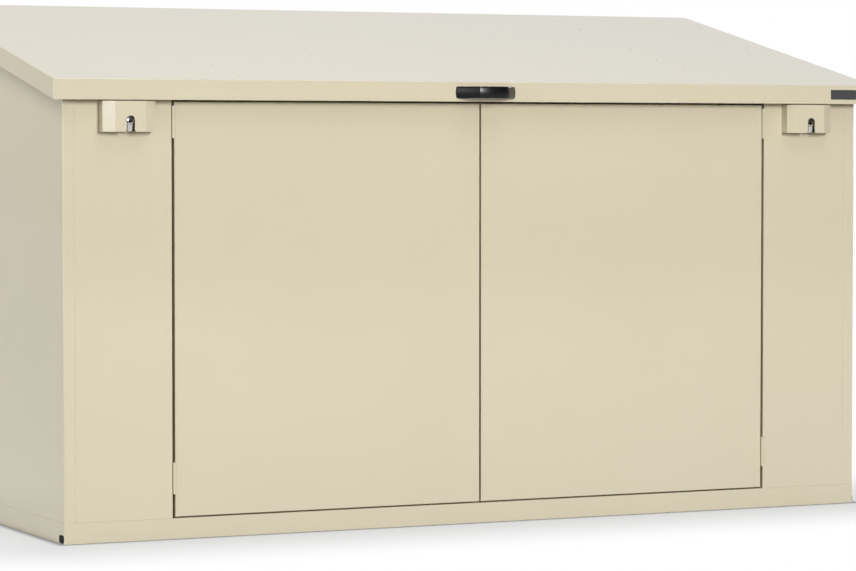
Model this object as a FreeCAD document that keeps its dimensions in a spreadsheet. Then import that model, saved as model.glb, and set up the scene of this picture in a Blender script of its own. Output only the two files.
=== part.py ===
import FreeCAD, Part
import math
import os
import types

import Sketcher
from FreeCAD import Placement, Rotation, Vector

# Metal bike shed: a sheet-steel cabinet with two front doors under a sloping lift-up lid.
# X runs along the front to the right, Y runs from the front to the back and Z is up.
# The origin is the middle of the base's footprint on the ground. All lengths are millimetres.

doc = FreeCAD.newDocument("bike_shed")

# Driving dimensions, one cell each.
SIZES = {
    # Cabinet: overall footprint, sheet steel and its folds.
    "body_width": 1980,
    "body_depth": 856,
    "steel": 1.2,
    "fold_radius": 1.6,
    "panel_seam": 0.6,
    "corner_strip": 26,
    "seam_flange": 20,
    "top_flange": 14,
    "floor_flange": 22,
    "punch_length": 7.2,
    # Base tray with its bearers and ground anchors.
    "base_height": 45,
    "base_lip": 25,
    "bearer_width": 60,
    "bearer_steel": 1.5,
    "anchor_spacing_across": 1400,
    "anchor_spacing_deep": 600,
    "anchor_hole": 12,
    "plug_length": 26,
    "plug_height": 15,
    "plug_from_corner": 3,
    "plug_from_ground": 3,
    "plug_proud": 1.2,
    "stop_height": 20,
    "stop_depth": 24,
    "stop_clearance": 1,
    # Lid: fascia, slope (rise over run), overhangs and the gap over the panels.
    "fascia_bottom": 951,
    "fascia_height": 44,
    "roof_slope": 0.2117,
    "lid_front": 39,
    "lid_rear": 13,
    "lid_side": 32.5,
    "lid_clearance": 0.8,
    "rib_spacing": 300,
    "rib_width": 60,
    "rib_depth": 18,
    "rib_margin": 45,
    # Lid hinges on the back panel, and the rail that backs them.
    "lid_hinge_spacing": 700,
    "lid_hinge_length": 120,
    "lid_knuckle_radius": 4.5,
    "lid_pin_radius": 2.6,
    "lid_leaf": 2,
    "lid_leaf_height": 25,
    "rail_depth": 30,
    "rail_height": 45,
    # Doors: hinge line, gaps, folded edge and the stiffener inside.
    "hinge_inset": 251,
    "hinge_gap": 6,
    "meeting_gap": 4,
    "door_edge_gap": 3,
    "door_fold": 22,
    "stiffener_width": 90,
    "stiffener_lip": 18,
    "stiffener_depth": 18,
    # Door hinges: three knuckles on a pin, leaves welded to the folded edges.
    "hinge_height": 68,
    "hinge_low_rise": 84,
    "hinge_high_drop": 45,
    "hinge_stand": 3,
    "knuckle_radius": 4,
    "knuckle_gap": 0.4,
    "pin_radius": 2.5,
    "pin_clearance": 0.05,
    "pin_head": 2,
    "hinge_leaf": 1.6,
    "leaf_reach": 20,
    # Gas struts between the side panels and the lid.
    "strut_inset": 35,
    "strut_run": 400,
    "strut_drop": 26,
    "strut_spread_angle": 62,
    "tube_radius": 11,
    "tube_wall": 1.5,
    "gland_length": 8,
    "rod_radius": 5,
    "rod_showing": 12,
    "piston_length": 14,
    "piston_clearance": 0.3,
    "strut_end": 28,
    "eye_radius": 9,
    "eye_width": 12,
    "stud_radius": 4,
    "stud_head": 2.5,
    "bracket_steel": 2.5,
    "bracket_length": 130,
    "bracket_width": 80,
    "wall_plate": 60,
    # Locks: housing under the fascia, profile cylinder, plug and cam.
    "lock_inset": 141,
    "lock_rise": 22.5,
    "housing_width": 119,
    "housing_flat": 70,
    "housing_wall": 25,
    "housing_depth": 37,
    "housing_height": 66,
    "housing_gap": 2.5,
    "housing_steel": 1.5,
    "notch_width": 19,
    "notch_height": 35,
    "notch_flare": 5,
    "profile_radius": 8.5,
    "profile_leg": 10,
    "profile_height": 30.5,
    "cylinder_setback": 4,
    "cylinder_length": 40,
    "plug_radius": 6.5,
    "cam_width": 7.4,
    "cam_clearance": 0.3,
    "cam_from_panel": 1.3,
    "cam_reach": 14.7,
    "cam_lobe": 7,
    "keyway_width": 2,
    "keyway_height": 9,
    "keyway_depth": 22,
    "bracket_setback": 17,
    "lock_fit": 0.3,
    # Lid catches that the cams hold down.
    "catch_steel": 2.5,
    "catch_offset": 12.4,
    "catch_shank": 3.8,
    "catch_front": 13,
    "catch_lug": 6.5,
    "catch_drop": 9.5,
    "catch_foot": 36,
    # Pull handle and plain plate on the fascia.
    "handle_shift": -6,
    "handle_rise": 20.5,
    "handle_length": 147,
    "handle_flat": 72,
    "handle_depth": 45,
    "handle_height": 26.5,
    "handle_bar": 9,
    "handle_bend": 12,
    "handle_foot": 15,
    "handle_round": 3,
    "screw_radius": 2,
    "screw_head": 4,
    "screw_head_height": 2.5,
    "screw_depth": 6,
    "screw_inset": 9.5,
    "plate_inset": 21.5,
    "plate_rise": 21.6,
    "plate_length": 100,
    "plate_height": 22.5,
    "plate_thick": 1,
    # Bolts of the panel seams and the floor flanges.
    "bolt_radius": 3,
    "bolt_head": 5.5,
    "bolt_head_height": 3.5,
    "bolt_clearance": 0.3,
    "seam_bolt_rise": 115,
    "seam_bolt_drop": 91,
    "seam_bolt_inset": 12,
    "flange_bolt_inset": 14.4,
    "side_bolt_inset": 185,
    "back_bolt_inset": 355,
}

cells = doc.addObject("Spreadsheet::Sheet", "Sizes")
for row, (name, number) in enumerate(SIZES.items(), 1):
    cells.set(f"A{row}", name)
    cells.set(f"B{row}", str(number))
    cells.setAlias(f"B{row}", name)
doc.recompute()


class Size:
    """A length as a formula over the sheet's cells, with the value that it has now."""

    def __init__(self, formula, value):
        self.formula = formula
        self.value = value

    @staticmethod
    def of(other):
        return other if isinstance(other, Size) else Size(repr(float(other)), float(other))

    def joined(self, sign, other, value):
        return Size(f"({self.formula} {sign} {other.formula})", value)

    def __add__(self, other):
        other = Size.of(other)
        return self.joined("+", other, self.value + other.value)

    def __sub__(self, other):
        other = Size.of(other)
        return self.joined("-", other, self.value - other.value)

    def __mul__(self, other):
        other = Size.of(other)
        return self.joined("*", other, self.value * other.value)

    def __truediv__(self, other):
        other = Size.of(other)
        return self.joined("/", other, self.value / other.value)

    def __neg__(self):
        return self * -1

    __radd__ = __add__
    __rmul__ = __mul__

    def __rsub__(self, other):
        return Size.of(other) - self


def root(size):
    return Size(f"sqrt({size.formula})", math.sqrt(size.value))


def sine(angle):
    return Size(f"sin({angle.formula})", math.sin(math.radians(angle.value)))


def cosine(angle):
    return Size(f"cos({angle.formula})", math.cos(math.radians(angle.value)))


S = types.SimpleNamespace(**{name: Size(f"Sizes.{name}", number) for name, number in SIZES.items()})
SIDES = ((-1, "left"), (1, "right"))
nodes = []


# Document objects: how each kind is made and tied to the sheet.

def bind(target, prop, size):
    target.setExpression(prop, Size.of(size).formula)


def place(target, spot, rotation=Rotation()):
    spot = [Size.of(value) for value in spot]
    target.Placement = Placement(Vector(*[value.value for value in spot]), rotation)
    for axis, value in zip("xyz", spot):
        bind(target, f"Placement.Base.{axis}", value)


def in_order(sizes):
    return sorted(sizes, key=lambda size: size.value)


def node(target, label):
    target.Label = label
    nodes.append(target)
    return target


def block(name, x, y, z):
    box = doc.addObject("Part::Box", name)
    for prop, (low, high) in zip(("Length", "Width", "Height"), (x, y, z)):
        bind(box, prop, Size.of(high) - low)
    place(box, (x[0], y[0], z[0]))
    return box


TURNS = {
    "X": Rotation(Vector(0, 1, 0), 90),
    "Y": Rotation(Vector(1, 0, 0), -90),
    "Z": Rotation(),
}


def bar(name, radius, start, length, axis):
    """A round bar that runs from its start along the axis named."""
    cylinder = doc.addObject("Part::Cylinder", name)
    bind(cylinder, "Radius", radius)
    bind(cylinder, "Height", length)
    place(cylinder, start, TURNS[axis])
    return cylinder


def fuse(name, pieces):
    joint = doc.addObject("Part::MultiFuse", name)
    joint.Shapes = pieces
    return joint


def cut(name, base, tools):
    result = doc.addObject("Part::Cut", name)
    result.Base = base
    result.Tool = tools[0] if len(tools) == 1 else fuse(f"{name}_tools", tools)
    return result


def group(label, pieces):
    bundle = doc.addObject("Part::Compound", label)
    bundle.Links = pieces
    return node(bundle, label)


def new_body(label):
    return node(doc.addObject("PartDesign::Body", label), label)


def new_sketch(body, name, plane, offset):
    sketch = body.newObject("Sketcher::SketchObject", f"{body.Name}_{name}")
    support = [part for part in body.Origin.OriginFeatures if part.Role == f"{plane}_Plane"]
    sketch.AttachmentSupport = [(support[0], "")]
    sketch.MapMode = "FlatFace"
    bind(sketch, "AttachmentOffset.Base.z", offset)
    return sketch


def pin_point(sketch, curve, end, spot):
    """Hold a curve's end or centre at a spot, measured from the sketch's origin."""
    for kind, size in zip(("DistanceX", "DistanceY"), spot):
        size = Size.of(size)
        index = sketch.addConstraint(Sketcher.Constraint(kind, -1, 1, curve, end, size.value))
        bind(sketch, f"Constraints[{index}]", size)


def outline(body, name, plane, corners, offset=0):
    """A closed outline of straight runs through the corners."""
    sketch = new_sketch(body, name, plane, offset)
    spots = [Vector(Size.of(u).value, Size.of(v).value, 0) for u, v in corners]
    count = len(spots)
    for start, end in zip(spots, spots[1:] + spots[:1]):
        sketch.addGeometry(Part.LineSegment(start, end))
    for index in range(count):
        sketch.addConstraint(Sketcher.Constraint("Coincident", index, 2, (index + 1) % count, 1))
    for index, corner in enumerate(corners):
        pin_point(sketch, index, 1, corner)
    return sketch


def rectangle(body, name, plane, u, v, offset=0):
    return outline(body, name, plane, [(u[0], v[0]), (u[1], v[0]), (u[1], v[1]), (u[0], v[1])], offset)


def circles(body, name, plane, centres, radius, offset=0):
    sketch = new_sketch(body, name, plane, offset)
    for index, centre in enumerate(centres):
        spot = Vector(Size.of(centre[0]).value, Size.of(centre[1]).value, 0)
        sketch.addGeometry(Part.Circle(spot, Vector(0, 0, 1), radius.value))
        pin_point(sketch, index, 3, centre)
        bound = sketch.addConstraint(Sketcher.Constraint("Radius", index, radius.value))
        bind(sketch, f"Constraints[{bound}]", radius)
    return sketch


def pad(body, sketch, length, reverse=False, both=False):
    feature = body.newObject("PartDesign::Pad", f"{sketch.Name}_pad")
    feature.Profile = sketch
    feature.Reversed = reverse
    feature.SideType = "Symmetric" if both else "One side"
    bind(feature, "Length", length)
    return feature


def pocket(body, sketch, length):
    """A cut of the given length, half of it on each side of its sketch."""
    feature = body.newObject("PartDesign::Pocket", f"{sketch.Name}_cut")
    feature.Profile = sketch
    feature.SideType = "Symmetric"
    bind(feature, "Length", length)
    return feature


def round_edges(body, name, radius, wanted):
    doc.recompute()
    base = body.Tip
    names = [f"Edge{index}" for index, edge in enumerate(base.Shape.Edges, 1) if wanted(edge)]
    feature = body.newObject("PartDesign::Fillet", f"{body.Name}_{name}")
    feature.Base = (base, names)
    bind(feature, "Radius", radius)
    return feature


NEAR = 0.001


def lies(edge, **spots):
    """True where the whole edge lies at the given coordinates."""
    box = edge.BoundBox
    lows = {"x": box.XMin, "y": box.YMin, "z": box.ZMin}
    highs = {"x": box.XMax, "y": box.YMax, "z": box.ZMax}
    for axis, size in spots.items():
        value = Size.of(size).value
        if abs(lows[axis] - value) > NEAR or abs(highs[axis] - value) > NEAR:
            return False
    return True


# Places that several pieces share.
half_width = S.body_width / 2
front = -S.body_depth / 2
rear = S.body_depth / 2
lid_front = front - S.lid_front
lid_rear = rear + S.lid_rear
lid_half = half_width + S.lid_side
skin_drop = S.steel * root(S.roof_slope * S.roof_slope + 1)
strip_edge = half_width - S.corner_strip
panel_edge = strip_edge - S.panel_seam
panel_bottom = S.base_height
hinge_line = half_width - S.hinge_inset
strut_line = half_width - S.strut_inset
lock_line = half_width - S.lock_inset
housing_top = S.fascia_bottom - S.housing_gap
housing_bottom = housing_top - S.housing_height
lock_level = housing_bottom + S.lock_rise
bolt_hole = S.bolt_radius + S.bolt_clearance
through = S.punch_length


def lid_top(y):
    return S.fascia_bottom + S.fascia_height + S.roof_slope * (y - lid_front)


def lid_under(y):
    return lid_top(y) - skin_drop


def panel_top(y):
    return lid_under(y) - S.lid_clearance


# Bolts: the seam bolts run along X through the paired flanges, the floor bolts stand up through the floor.
seam_low = panel_bottom + S.seam_bolt_rise
seam_high = S.fascia_bottom - S.seam_bolt_drop
seam_levels = [seam_low, (seam_low + seam_high) / 2, seam_high]
seam_rows = [front + S.seam_bolt_inset, rear - S.seam_bolt_inset]
floor_row = S.flange_bolt_inset
side_bolt_rows = [front + S.side_bolt_inset, rear - S.side_bolt_inset]
back_bolt_rows = [S.back_bolt_inset - half_width, half_width - S.back_bolt_inset]
front_bolt_row = (panel_edge + hinge_line + S.hinge_gap / 2) / 2
floor_bolts = [(side * (half_width - floor_row), y) for side, word in SIDES for y in side_bolt_rows]
floor_bolts += [(x, rear - floor_row) for x in back_bolt_rows]
floor_bolts += [(side * front_bolt_row, front + floor_row) for side, word in SIDES]
anchors = [(S.anchor_spacing_across / 2 * side, S.anchor_spacing_deep / 2 * end)
           for side in (-1, 1) for end in (-1, 1)]


def base_tray():
    """Floor with skirts folded down all round and lips folded in under them."""
    body = new_body("base_tray")
    wide = (-half_width, half_width)
    deep = (front, rear)
    pad(body, rectangle(body, "footprint", "XY", wide, deep), S.base_height)
    corners = [(x, y) for x in wide for y in deep]

    def folded(edge):
        upright = any(lies(edge, x=x, y=y) for x, y in corners)
        rim = lies(edge, z=S.base_height)
        return upright or rim

    round_edges(body, "folds", S.fold_radius, folded)
    inset = (S.steel, S.base_lip)
    for name, edge, low, high in (("cavity", inset[0], S.steel, S.base_height - S.steel),
                                  ("mouth", inset[1], -S.steel, S.steel * 2)):
        hollow = body.newObject("PartDesign::SubtractiveBox", f"base_tray_{name}")
        bind(hollow, "Length", S.body_width - edge * 2)
        bind(hollow, "Width", S.body_depth - edge * 2)
        bind(hollow, "Height", Size.of(high) - low)
        place(hollow, (edge - half_width, front + edge, low))
    pocket(body, circles(body, "anchors", "XY", anchors, S.anchor_hole / 2, S.base_height), through)
    pocket(body, circles(body, "bolts", "XY", floor_bolts, bolt_hole, S.base_height), through)
    slots = [(end * (rear - S.plug_from_corner - S.plug_length / 2), S.plug_from_ground + S.plug_height / 2)
             for end in (-1, 1)]
    for index, (y, z) in enumerate(slots):
        span = rectangle(body, f"slot_{index}", "YZ", (y - S.plug_length / 2, y + S.plug_length / 2),
                         (z - S.plug_height / 2, z + S.plug_height / 2))
        pocket(body, span, S.body_width + through)
        doc.recompute()


def base_plugs():
    """Black plugs in the slots of the side skirts, two on each side."""
    plugs = []
    for side, word in SIDES:
        for end, mark in ((-1, "front"), (1, "rear")):
            middle = end * (rear - S.plug_from_corner - S.plug_length / 2)
            deep = (middle - S.plug_length / 2, middle + S.plug_length / 2)
            tall = (S.plug_from_ground, S.plug_from_ground + S.plug_height)
            skirt = side * half_width
            ends = (skirt - side * S.steel * 2, skirt + side * S.plug_proud)
            plugs.append(block(f"plug_{word}_{mark}", in_order(ends), deep, tall))
    group("base_plugs", plugs)


def floor_bearers():
    """Channels under the floor that stand on the ground, bored for the anchors in the outer two."""
    for spot, word in ((-1, "left"), (0, "middle"), (1, "right")):
        body = new_body(f"floor_bearer_{word}")
        middle = S.anchor_spacing_across / 2 * spot
        half = S.bearer_width / 2
        wall = S.bearer_steel
        top = S.base_height - S.steel
        half_corners = [(half, 0), (half, top), (half - wall, top), (half - wall, wall)]
        loop = half_corners + [(-x, z) for x, z in reversed(half_corners)]
        corners = [(middle + x, z) for x, z in loop]
        length = S.body_depth - (S.base_lip + S.steel) * 2
        pad(body, outline(body, "channel", "XZ", corners), length, both=True)
        if spot:
            holes = [anchor for anchor in anchors if anchor[0].value * spot > 0]
            pocket(body, circles(body, "anchors", "XY", holes, S.anchor_hole / 2), through)


def sill_stop():
    """Angle on the floor that the doors close against."""
    body = new_body("door_sill_stop")
    near = front + S.door_fold + S.stop_clearance
    wall = S.steel
    low = S.base_height
    top = low + S.stop_height
    corners = [(near, low), (near + S.stop_depth, low), (near + S.stop_depth, low + wall),
               (near + wall, low + wall), (near + wall, top), (near, top)]
    pad(body, outline(body, "angle", "YZ", corners), (hinge_line - S.hinge_gap) * 2, both=True)


def side_panels():
    """Side sheets folded round the corners into strips, with flanges at the seams, floor and lid."""
    for side, word in SIDES:
        body = new_body(f"side_panel_{word}")
        out = half_width
        strip = strip_edge
        wall = S.steel
        reach = S.seam_flange
        half_plan = [(out, front), (strip, front), (strip, front + reach), (strip + wall, front + reach),
                     (strip + wall, front + wall), (out - wall, front + wall)]
        plan = half_plan + [(x, -y) for x, y in reversed(half_plan)]
        plan = [(side * x, y) for x, y in plan]
        tall = panel_top(rear) - panel_bottom
        pad(body, outline(body, "plan", "XY", plan, panel_bottom), tall)
        folds = [(side * x, y) for x in (out, strip) for y in (front, rear)]
        round_edges(body, "folds", S.fold_radius, lambda edge: any(lies(edge, x=x, y=y) for x, y in folds))
        beyond = wall * 2
        high = panel_top(rear + beyond) + S.fascia_height
        slope = [(front - beyond, panel_top(front - beyond)), (rear + beyond, panel_top(rear + beyond)),
                 (rear + beyond, high), (front - beyond, high)]
        pocket(body, outline(body, "slope", "YZ", slope), S.body_width + through)
        inside = side * (out - wall)
        near = front + S.seam_flange * 2
        far = rear - S.seam_flange * 2
        rim = [(near, panel_top(near)), (far, panel_top(far)), (far, panel_top(far) - skin_drop),
               (near, panel_top(near) - skin_drop)]
        pad(body, outline(body, "rim", "YZ", rim, inside), S.top_flange, reverse=side > 0)
        foot = rectangle(body, "foot", "YZ", (near, far), (panel_bottom, panel_bottom + wall), inside)
        pad(body, foot, S.floor_flange, reverse=side > 0)
        seams = [(y, z) for y in seam_rows for z in seam_levels]
        pocket(body, circles(body, "seams", "YZ", seams, bolt_hole, side * strip), through)
        bolts = [spot for spot in floor_bolts[:4] if spot[0].value * side > 0]
        pocket(body, circles(body, "bolts", "XY", bolts, bolt_hole, panel_bottom), through)


def lock_places():
    return [(side, word, side * lock_line) for side, word in SIDES]


def front_panels():
    """Fixed panels between the corner strips and the doors, each with a window for its lock."""
    for side, word, lock in lock_places():
        body = new_body(f"front_panel_{word}")
        outer = panel_edge
        inner = hinge_line + S.hinge_gap / 2
        wall = S.steel
        reach = front + S.seam_flange
        plan = [(outer, front), (inner, front), (inner, reach), (inner + wall, reach),
                (inner + wall, front + wall), (outer - wall, front + wall), (outer - wall, reach),
                (outer, reach)]
        plan = [(side * x, y) for x, y in plan]
        pad(body, outline(body, "plan", "XY", plan, panel_bottom), panel_top(front) - panel_bottom)
        round_edges(body, "folds", S.fold_radius,
                    lambda edge: any(lies(edge, x=side * x, y=front) for x in (outer, inner)))
        margin = S.steel * 2
        reach_across = S.profile_radius + margin
        leg_bottom = lock_level + S.profile_radius - S.profile_height
        tall = (leg_bottom - S.lock_fit, lock_level + S.cam_reach + margin)
        window = rectangle(body, "window", "XZ", (lock - reach_across, lock + reach_across), tall, -front)
        pocket(body, window, through)
        ends = in_order((side * (inner + wall), side * (outer - wall)))
        foot = rectangle(body, "foot", "XZ", ends, (panel_bottom, panel_bottom + wall), -front - wall)
        pad(body, foot, S.floor_flange, reverse=True)
        bolts = [spot for spot in floor_bolts[6:] if spot[0].value * side > 0]
        pocket(body, circles(body, "bolts", "XY", bolts, bolt_hole, panel_bottom), through)
        seams = [(seam_rows[0], z) for z in seam_levels]
        pocket(body, circles(body, "seams", "YZ", seams, bolt_hole, side * outer), through)


def back_panel():
    """One sheet across the back, with flanges at the seams and the floor."""
    body = new_body("back_panel")
    edge = panel_edge
    wall = S.steel
    reach = rear - S.seam_flange
    half_plan = [(edge - wall, rear - wall), (edge - wall, reach), (edge, reach), (edge, rear)]
    plan = half_plan + [(-x, y) for x, y in reversed(half_plan)]
    pad(body, outline(body, "plan", "XY", plan, panel_bottom), panel_top(reach) - panel_bottom)
    round_edges(body, "folds", S.fold_radius,
                lambda line: any(lies(line, x=x, y=rear) for x in (edge, -edge)))
    span = (wall - edge, edge - wall)
    foot = rectangle(body, "foot", "XZ", span, (panel_bottom, panel_bottom + wall), wall - rear)
    pad(body, foot, S.floor_flange)
    pocket(body, circles(body, "bolts", "XY", floor_bolts[4:6], bolt_hole, panel_bottom), through)
    for side, word in SIDES:
        seams = [(seam_rows[1], z) for z in seam_levels]
        pocket(body, circles(body, f"seams_{word}", "YZ", seams, bolt_hole, side * edge), through)


def back_rail():
    """Channel inside the top of the back panel that carries the lid hinges."""
    body = new_body("back_top_rail")
    wall = S.bearer_steel
    face = rear - S.steel
    near = face - S.rail_depth
    top = panel_top(near)
    low = top - S.rail_height
    corners = [(face, low), (face, top), (near, top), (near, top - wall), (face - wall, top - wall),
               (face - wall, low + wall), (near, low + wall), (near, low)]
    length = (panel_edge - S.seam_flange) * 2
    pad(body, outline(body, "channel", "YZ", corners), length, both=True)


def panel_bolts():
    """Bolts with their nuts: a head on one face of the joined sheets, a nut on the other."""
    bolts = []

    def bolt(name, start, grip, axis, along):
        spot = list(start)
        spot[along] = spot[along] - S.bolt_head_height
        head = bar(f"{name}_head", S.bolt_head, spot, S.bolt_head_height, axis)
        shank = bar(f"{name}_shank", S.bolt_radius, spot, grip + S.bolt_head_height * 2, axis)
        far = list(start)
        far[along] = far[along] + grip
        nut = bar(f"{name}_nut", S.bolt_head, far, S.bolt_head_height, axis)
        return fuse(name, [head, shank, nut])

    seam_grip = S.steel * 2 + S.panel_seam
    for side, word in SIDES:
        start = strip_edge + S.steel - seam_grip if side > 0 else -(strip_edge + S.steel)
        for row, y in enumerate(seam_rows):
            for level, z in enumerate(seam_levels):
                bolts.append(bolt(f"seam_bolt_{word}_{row}_{level}", (start, y, z), seam_grip, "X", 0))
    group("seam_bolts", bolts)
    feet = [bolt(f"floor_bolt_{index}", (x, y, S.base_height - S.steel), S.steel * 2, "Z", 2)
            for index, (x, y) in enumerate(floor_bolts)]
    group("floor_bolts", feet)


base_tray()
base_plugs()
floor_bearers()
sill_stop()
side_panels()
front_panels()
back_panel()
back_rail()
panel_bolts()


# Doors: folded pans with a stiffener, hung on barrel hinges that stand just proud of the front.
door_bottom = S.base_height + S.door_edge_gap
door_top = S.fascia_bottom - S.door_edge_gap
hinge_axis = front - S.hinge_stand
knuckle = (S.hinge_height - S.knuckle_gap * 2) / 3
hinge_levels = (("lower", door_bottom + S.hinge_low_rise), ("upper", door_top - S.hinge_high_drop))


def door(side, word):
    body = new_body(f"door_{word}_skin")
    hinge_edge = hinge_line - S.hinge_gap / 2
    free_edge = S.meeting_gap / 2
    wide = in_order((side * hinge_edge, side * free_edge))
    tall = (door_bottom, door_top)
    pad(body, rectangle(body, "face", "XZ", wide, tall, -front), S.door_fold, reverse=True)
    round_edges(body, "folds", S.fold_radius, lambda edge: lies(edge, y=front))
    wall = S.steel
    inner_wide = (wide[0] + wall, wide[1] - wall)
    inner_tall = (tall[0] + wall, tall[1] - wall)
    hollow = rectangle(body, "hollow", "XZ", inner_wide, inner_tall, -front - wall - S.door_fold)
    pocket(body, hollow, S.door_fold * 2)

    stiffener = new_body(f"door_{word}_stiffener")
    middle = (wide[0] + wide[1]) / 2
    half = S.stiffener_width / 2
    near = front + wall
    far = near + S.stiffener_depth
    crown = half - S.stiffener_lip
    half_hat = [(crown, far - wall), (crown, near), (half, near), (half, near + wall),
                (crown + wall, near + wall), (crown + wall, far)]
    hat = half_hat + [(-x, y) for x, y in reversed(half_hat)]
    sketch = outline(stiffener, "hat", "XY", [(middle + x, y) for x, y in hat], door_bottom + wall)
    pad(stiffener, sketch, door_top - door_bottom - wall * 2)


def hinge_leaf(name, side, level, toward, turns):
    """One leaf: a plate along a folded edge, with a knuckle at each height in turns, bored for the pin."""
    axis = side * hinge_line
    low = level - S.hinge_height / 2
    gap = S.hinge_gap / 2
    edges = in_order((axis + toward * gap, axis + toward * (gap - S.hinge_leaf)))
    behind = hinge_axis + S.knuckle_radius + S.knuckle_gap
    pieces = [block(f"{name}_plate", edges, (behind, front + S.leaf_reach), (low, low + S.hinge_height))]
    for turn in turns:
        start = low + (knuckle + S.knuckle_gap) * turn
        foot = (axis, hinge_axis, start)
        pieces.append(bar(f"{name}_knuckle_{turn}", S.knuckle_radius, foot, knuckle, "Z"))
        neck = (hinge_axis + S.pin_radius + S.pin_clearance, behind)
        pieces.append(block(f"{name}_neck_{turn}", edges, neck, (start, start + knuckle)))
    bore = bar(f"{name}_bore", S.pin_radius + S.pin_clearance, (axis, hinge_axis, low - S.hinge_leaf),
               S.hinge_height + S.hinge_leaf * 2, "Z")
    return cut(name, fuse(f"{name}_solid", pieces), [bore])


def door_hinges():
    pins = []
    for side, word in SIDES:
        fixed = []
        swinging = []
        for mark, level in hinge_levels:
            fixed.append(hinge_leaf(f"frame_leaf_{word}_{mark}", side, level, side, (0, 2)))
            swinging.append(hinge_leaf(f"door_leaf_{word}_{mark}", side, level, -side, (1,)))
            foot = (side * hinge_line, hinge_axis, level - S.hinge_height / 2)
            crown = (side * hinge_line, hinge_axis, level + S.hinge_height / 2)
            stem = bar(f"pin_{word}_{mark}_stem", S.pin_radius, foot, S.hinge_height, "Z")
            head = bar(f"pin_{word}_{mark}_head", S.knuckle_radius, crown, S.pin_head, "Z")
            pins.append(fuse(f"pin_{word}_{mark}", [stem, head]))
        group(f"door_hinge_frame_leaves_{word}", fixed)
        group(f"door_hinge_door_leaves_{word}", swinging)
    group("door_hinge_pins", pins)


for side, word in SIDES:
    door(side, word)
door_hinges()


# Lid: a tray turned over the cabinet, stiffened by ribs and hinged along its lower rear edge.
lid_hinge_y = rear + (S.lid_rear - S.steel) / 2
rear_wall_bottom = lid_top(lid_rear) - S.fascia_height
lid_hinge_z = rear_wall_bottom - S.lid_knuckle_radius - S.knuckle_gap


def lid_skin():
    body = new_body("lid_skin")
    drop = S.fascia_height
    ends = (lid_front, lid_rear)
    section = [(y, lid_top(y)) for y in ends] + [(y, lid_top(y) - drop) for y in reversed(ends)]
    pad(body, outline(body, "section", "YZ", section), lid_half * 2, both=True)
    ridge = [lid_top(y).value for y in ends]
    corners = [(side * lid_half, y) for side, word in SIDES for y in ends]

    def folded(edge):
        upright = any(lies(edge, x=x, y=y) for x, y in corners)
        level = any(lies(edge, y=y, z=lid_top(y)) for y in ends)
        box = edge.BoundBox
        sloping = abs(box.ZMin - ridge[0]) < NEAR and abs(box.ZMax - ridge[1]) < NEAR
        return upright or level or sloping

    round_edges(body, "folds", S.fold_radius, folded)
    near = lid_front + S.steel
    far = lid_rear - S.steel
    below = S.fascia_height * 2
    hollow = [(near, lid_under(near)), (far, lid_under(far)), (far, lid_under(far) - below),
              (near, lid_under(near) - below)]
    pocket(body, outline(body, "hollow", "YZ", hollow), (lid_half - S.steel) * 2)


def lid_ribs():
    near = front + S.rib_margin
    far = rear - S.rib_margin
    wall = S.steel
    for spot, word in ((-2, "outer_left"), (-1, "inner_left"), (1, "inner_right"), (2, "outer_right")):
        body = new_body(f"lid_rib_{word}")
        middle = S.rib_spacing * spot
        side = [(near, lid_under(near)), (far, lid_under(far)), (far, lid_under(far) - S.rib_depth),
                (near, lid_under(near) - S.rib_depth)]
        pad(body, outline(body, "side", "YZ", side, middle), S.rib_width, both=True)
        inner = S.rib_depth - skin_drop
        before = near - wall * 2
        beyond = far + wall * 2
        above = S.rib_depth
        hollow = [(before, lid_under(before) - inner), (beyond, lid_under(beyond) - inner),
                  (beyond, lid_under(beyond) + above), (before, lid_under(before) + above)]
        pocket(body, outline(body, "hollow", "YZ", hollow, middle), S.rib_width - wall * 2)


def lid_leaf(name, middle, inner_face, outer_face, turns):
    """A leaf standing up from its knuckles, flat on the sheet that it is welded to."""
    third = (S.lid_hinge_length - S.knuckle_gap * 2) / 3
    left = middle - S.lid_hinge_length / 2
    above = lid_hinge_z + S.lid_knuckle_radius + S.knuckle_gap
    faces = (inner_face, outer_face)
    wide = (left, left + S.lid_hinge_length)
    pieces = [block(f"{name}_plate", wide, faces, (above, above + S.lid_leaf_height))]
    for turn in turns:
        start = left + (third + S.knuckle_gap) * turn
        foot = (start, lid_hinge_y, lid_hinge_z)
        pieces.append(bar(f"{name}_knuckle_{turn}", S.lid_knuckle_radius, foot, third, "X"))
        pieces.append(block(f"{name}_neck_{turn}", (start, start + third), faces, (lid_hinge_z, above)))
    bore = bar(f"{name}_bore", S.lid_pin_radius + S.pin_clearance,
               (left - S.lid_leaf, lid_hinge_y, lid_hinge_z), S.lid_hinge_length + S.lid_leaf * 2, "X")
    return cut(name, fuse(f"{name}_solid", pieces), [bore])


def lid_hinges():
    fixed = []
    lifting = []
    pins = []
    for index in (-1, 0, 1):
        middle = S.lid_hinge_spacing * index
        mark = ("left", "middle", "right")[index + 1]
        inside = lid_rear - S.steel
        fixed.append(lid_leaf(f"frame_leaf_{mark}", middle, rear, rear + S.lid_leaf, (0, 2)))
        lifting.append(lid_leaf(f"lid_leaf_{mark}", middle, inside - S.lid_leaf, inside, (1,)))
        start = (middle - S.lid_hinge_length / 2 - S.lid_leaf, lid_hinge_y, lid_hinge_z)
        length = S.lid_hinge_length + S.lid_leaf * 2
        pins.append(bar(f"lid_pin_{mark}", S.lid_pin_radius, start, length, "X"))
    group("lid_hinge_frame_leaves", fixed)
    group("lid_hinge_lid_leaves", lifting)
    group("lid_hinge_pins", pins)


lid_skin()
lid_ribs()
lid_hinges()


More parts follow.
